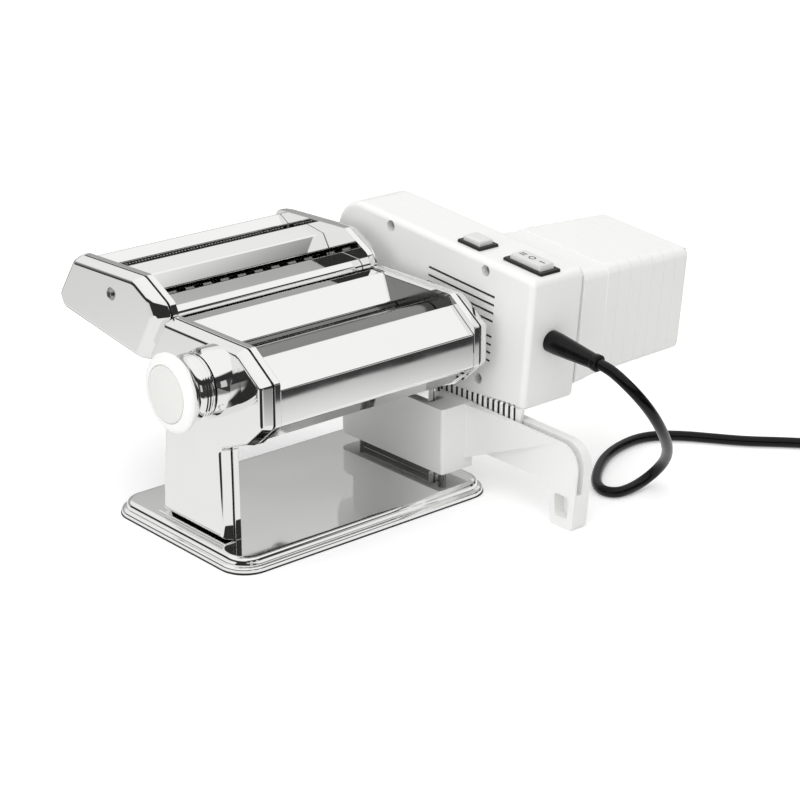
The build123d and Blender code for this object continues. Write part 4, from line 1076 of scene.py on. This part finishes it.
def blend_values(tree, factor, first, second):
    """First where the factor is 0 and second where it is 1; numbers or sockets."""
    mix = add_node(tree, "ShaderNodeMix", data_type="FLOAT")
    for key, value in (("Factor", factor), ("A", first), ("B", second)):
        if isinstance(value, tuple):
            tree.links.new(value[0].outputs[value[1]], mix.inputs[key])
        else:
            mix.inputs[key].default_value = value
    return (mix, "Result")


def seen_directly(tree):
    """1 for what the camera sees itself, or through glass."""
    path = add_node(tree, "ShaderNodeLightPath")
    return (add_node(tree, "ShaderNodeMath", {0: (path, "Is Camera Ray"), 1: (path, "Is Transmission Ray")},
                     operation="MAXIMUM"), "Value")


def studio_floor():
    """White paper that keeps the shadow; in the metal it darkens towards the front of the room."""
    bpy.ops.mesh.primitive_circle_add(vertices=64, radius=6.0, fill_type="NGON")
    floor = bpy.context.object
    floor.name = "studio_floor"
    material, tree, shader = new_material("studio_paper")
    shader.inputs["Base Color"].default_value = (*colours().floor, 1)
    shader.inputs["Roughness"].default_value = 0.9
    shader.inputs["Specular IOR Level"].default_value = 0.0
    shader.inputs["Emission Color"].default_value = (1, 1, 1, 1)
    glow = blend_values(tree, seen_directly(tree), 0.0, 0.3)
    tree.links.new(glow[0].outputs[glow[1]], shader.inputs["Emission Strength"])
    place = add_node(tree, "ShaderNodeTexCoord")
    parts = add_node(tree, "ShaderNodeSeparateXYZ", {"Vector": (place, "Object")})
    side = add_node(tree, "ShaderNodeMath", {0: (parts, "X")}, operation="MULTIPLY")
    side.inputs[1].default_value = -0.15
    reach = add_node(tree, "ShaderNodeMath", {0: (parts, "Y"), 1: (side, "Value")}, operation="ADD")
    # In front of the machine: a fade for the hood's face, ending in a black line along its upper fold.
    near = step_between(tree, (reach, "Value"), -0.25, -0.40, 0.9, 0.25)
    far = step_between(tree, (parts, "Y"), -0.302, -0.306, 0.0, 1.0)
    beyond = blend_values(tree, step_between(tree, (parts, "X"), 0.03, 0.07), near, 0.04)
    tone = blend_values(tree, far, near, beyond)
    # Behind it: pale for the left covers, dark for the outlines of what faces right and back.
    left = step_between(tree, (parts, "Y"), 0.08, 0.5, 0.9, 0.72)
    behind = blend_values(tree, step_between(tree, (parts, "X"), -0.07, -0.04), left, 0.16)
    tone = blend_values(tree, step_between(tree, (parts, "Y"), 0.08, 0.13), tone, behind)
    # A black wedge from the base's left front corner, which the leg's folded edge picks up.
    from_corner = [add_node(tree, "ShaderNodeMath", {0: (parts, key)}, operation="ADD") for key in "XY"]
    for node, distance in zip(from_corner, (0.087, 0.077)):
        node.inputs[1].default_value = distance
    turn = add_node(tree, "ShaderNodeMath", {0: (from_corner[1], "Value"), 1: (from_corner[0], "Value")},
                    operation="ARCTAN2")
    below = step_between(tree, (turn, "Value"), -2.15, -2.3)
    wedge = blend_values(tree, step_between(tree, (parts, "X"), -0.11, -0.15), 0.0, below)
    tone = blend_values(tree, wedge, tone, 0.03)
    mirror = add_node(tree, "ShaderNodeEmission", {"Strength": tone})
    path = add_node(tree, "ShaderNodeLightPath")
    both = add_node(tree, "ShaderNodeMixShader", {"Fac": (path, "Is Glossy Ray")})
    tree.links.new(shader.outputs["BSDF"], both.inputs[1])
    tree.links.new(mirror.outputs["Emission"], both.inputs[2])
    output = next(node for node in tree.nodes if node.bl_idname == "ShaderNodeOutputMaterial")
    tree.links.new(both.outputs["Shader"], output.inputs["Surface"])
    floor.data.materials.append(material)


def studio_world():
    """White room for the eye and soft light; in the metal a ceiling, a dark front and a pale back."""
    world = bpy.data.worlds.new("studio_world")
    bpy.context.scene.world = world
    world.use_nodes = True
    tree = world.node_tree
    tree.nodes.clear()
    place = add_node(tree, "ShaderNodeTexCoord")
    way = add_node(tree, "ShaderNodeSeparateXYZ", {"Vector": (place, "Generated")})
    height = (way, "Z")
    bearing = add_node(tree, "ShaderNodeMath", {0: (way, "Y"), 1: (way, "X")}, operation="ARCTAN2")
    # Low in front, upright bars for what is turned round; above them a black band, then the ceiling.
    count = add_node(tree, "ShaderNodeMath", {0: (bearing, "Value")}, operation="MULTIPLY")
    count.inputs[1].default_value = 13.0
    wave = add_node(tree, "ShaderNodeMath", {0: (count, "Value")}, operation="SINE")
    bars = step_between(tree, (wave, "Value"), 0.05, 0.35, 0.05, 0.62)
    low_front = blend_values(tree, step_between(tree, height, 0.27, 0.31), bars, 0.03)
    front = blend_values(tree, step_between(tree, height, 0.52, 0.60), low_front, 1.0)
    low_back = step_between(tree, height, 0.34, 0.5, 0.4, 0.9)
    back = blend_values(tree, step_between(tree, height, 0.60, 0.75), low_back, 1.0)
    mirrored = blend_values(tree, step_between(tree, (way, "Y"), 0.1, 0.3), front, back)
    # On the left a black floor line under a white wall, for the covers' drafted sides.
    left = blend_values(tree, step_between(tree, height, 0.38, 0.46), 0.03, 0.97)
    mirrored = blend_values(tree, step_between(tree, (way, "X"), -0.35, -0.6), mirrored, left)
    path = add_node(tree, "ShaderNodeLightPath")
    shine = blend_values(tree, (path, "Is Glossy Ray"), 0.62, mirrored)
    strength = blend_values(tree, seen_directly(tree), shine, 1.0)
    sky = add_node(tree, "ShaderNodeBackground", {"Strength": strength})
    sky.inputs["Color"].default_value = (1, 1, 1, 1)
    add_node(tree, "ShaderNodeOutputWorld", {"Surface": (sky, "Background")})


class PASTA_OT_stage(bpy.types.Operator):
    """Build the pale floor, the soft lights and the room that the chrome mirrors"""
    bl_idname = "object.pasta_stage"
    bl_label = "Studio"

    def execute(self, context):
        deselect()
        studio_floor()
        studio_world()
        lamp("key_softbox", (-0.9, -0.9, 1.9), (0, 0, 0.1), 1.6, 14)
        lamp("top_softbox", (0.3, 0.5, 2.2), (0, 0, 0.1), 2.0, 12)
        lamp("side_softbox", (-2.0, -0.3, 0.5), (0, 0, 0.08), 1.2, 9)
        context.scene.view_settings.view_transform = "Standard"
        return {"FINISHED"}


class PASTA_PT_panel(bpy.types.Panel):
    bl_label = "Pasta maker"
    bl_idname = "PASTA_PT_panel"
    bl_space_type = "VIEW_3D"
    bl_region_type = "UI"
    bl_category = "Pasta maker"

    def draw(self, context):
        layout = self.layout
        for group in (context.scene.pasta_sizes, context.scene.pasta_colours):
            for key in group.bl_rna.properties.keys():
                if key not in {"rna_type", "name"}:
                    layout.prop(group, key)
        for operator in OPERATORS:
            layout.operator(operator.bl_idname)


OPERATORS = (PASTA_OT_camera, PASTA_OT_cord, PASTA_OT_finishes, PASTA_OT_shells, PASTA_OT_covers,
             PASTA_OT_mouldings, PASTA_OT_base, PASTA_OT_dial, PASTA_OT_rollers, PASTA_OT_stage)
CLASSES = (PastaColours, PastaSizes, *OPERATORS, PASTA_PT_panel)


def register():
    for cls in CLASSES:
        bpy.utils.register_class(cls)
    bpy.types.Scene.pasta_colours = bpy.props.PointerProperty(type=PastaColours)
    bpy.types.Scene.pasta_sizes = bpy.props.PointerProperty(type=PastaSizes)


def unregister():
    del bpy.types.Scene.pasta_colours
    del bpy.types.Scene.pasta_sizes
    for cls in reversed(CLASSES):
        bpy.utils.unregister_class(cls)


def main():
    register()
    for operator in OPERATORS:
        group, name = operator.bl_idname.split(".")
        getattr(getattr(bpy.ops, group), name)()


if __name__ == "__main__":
    main()
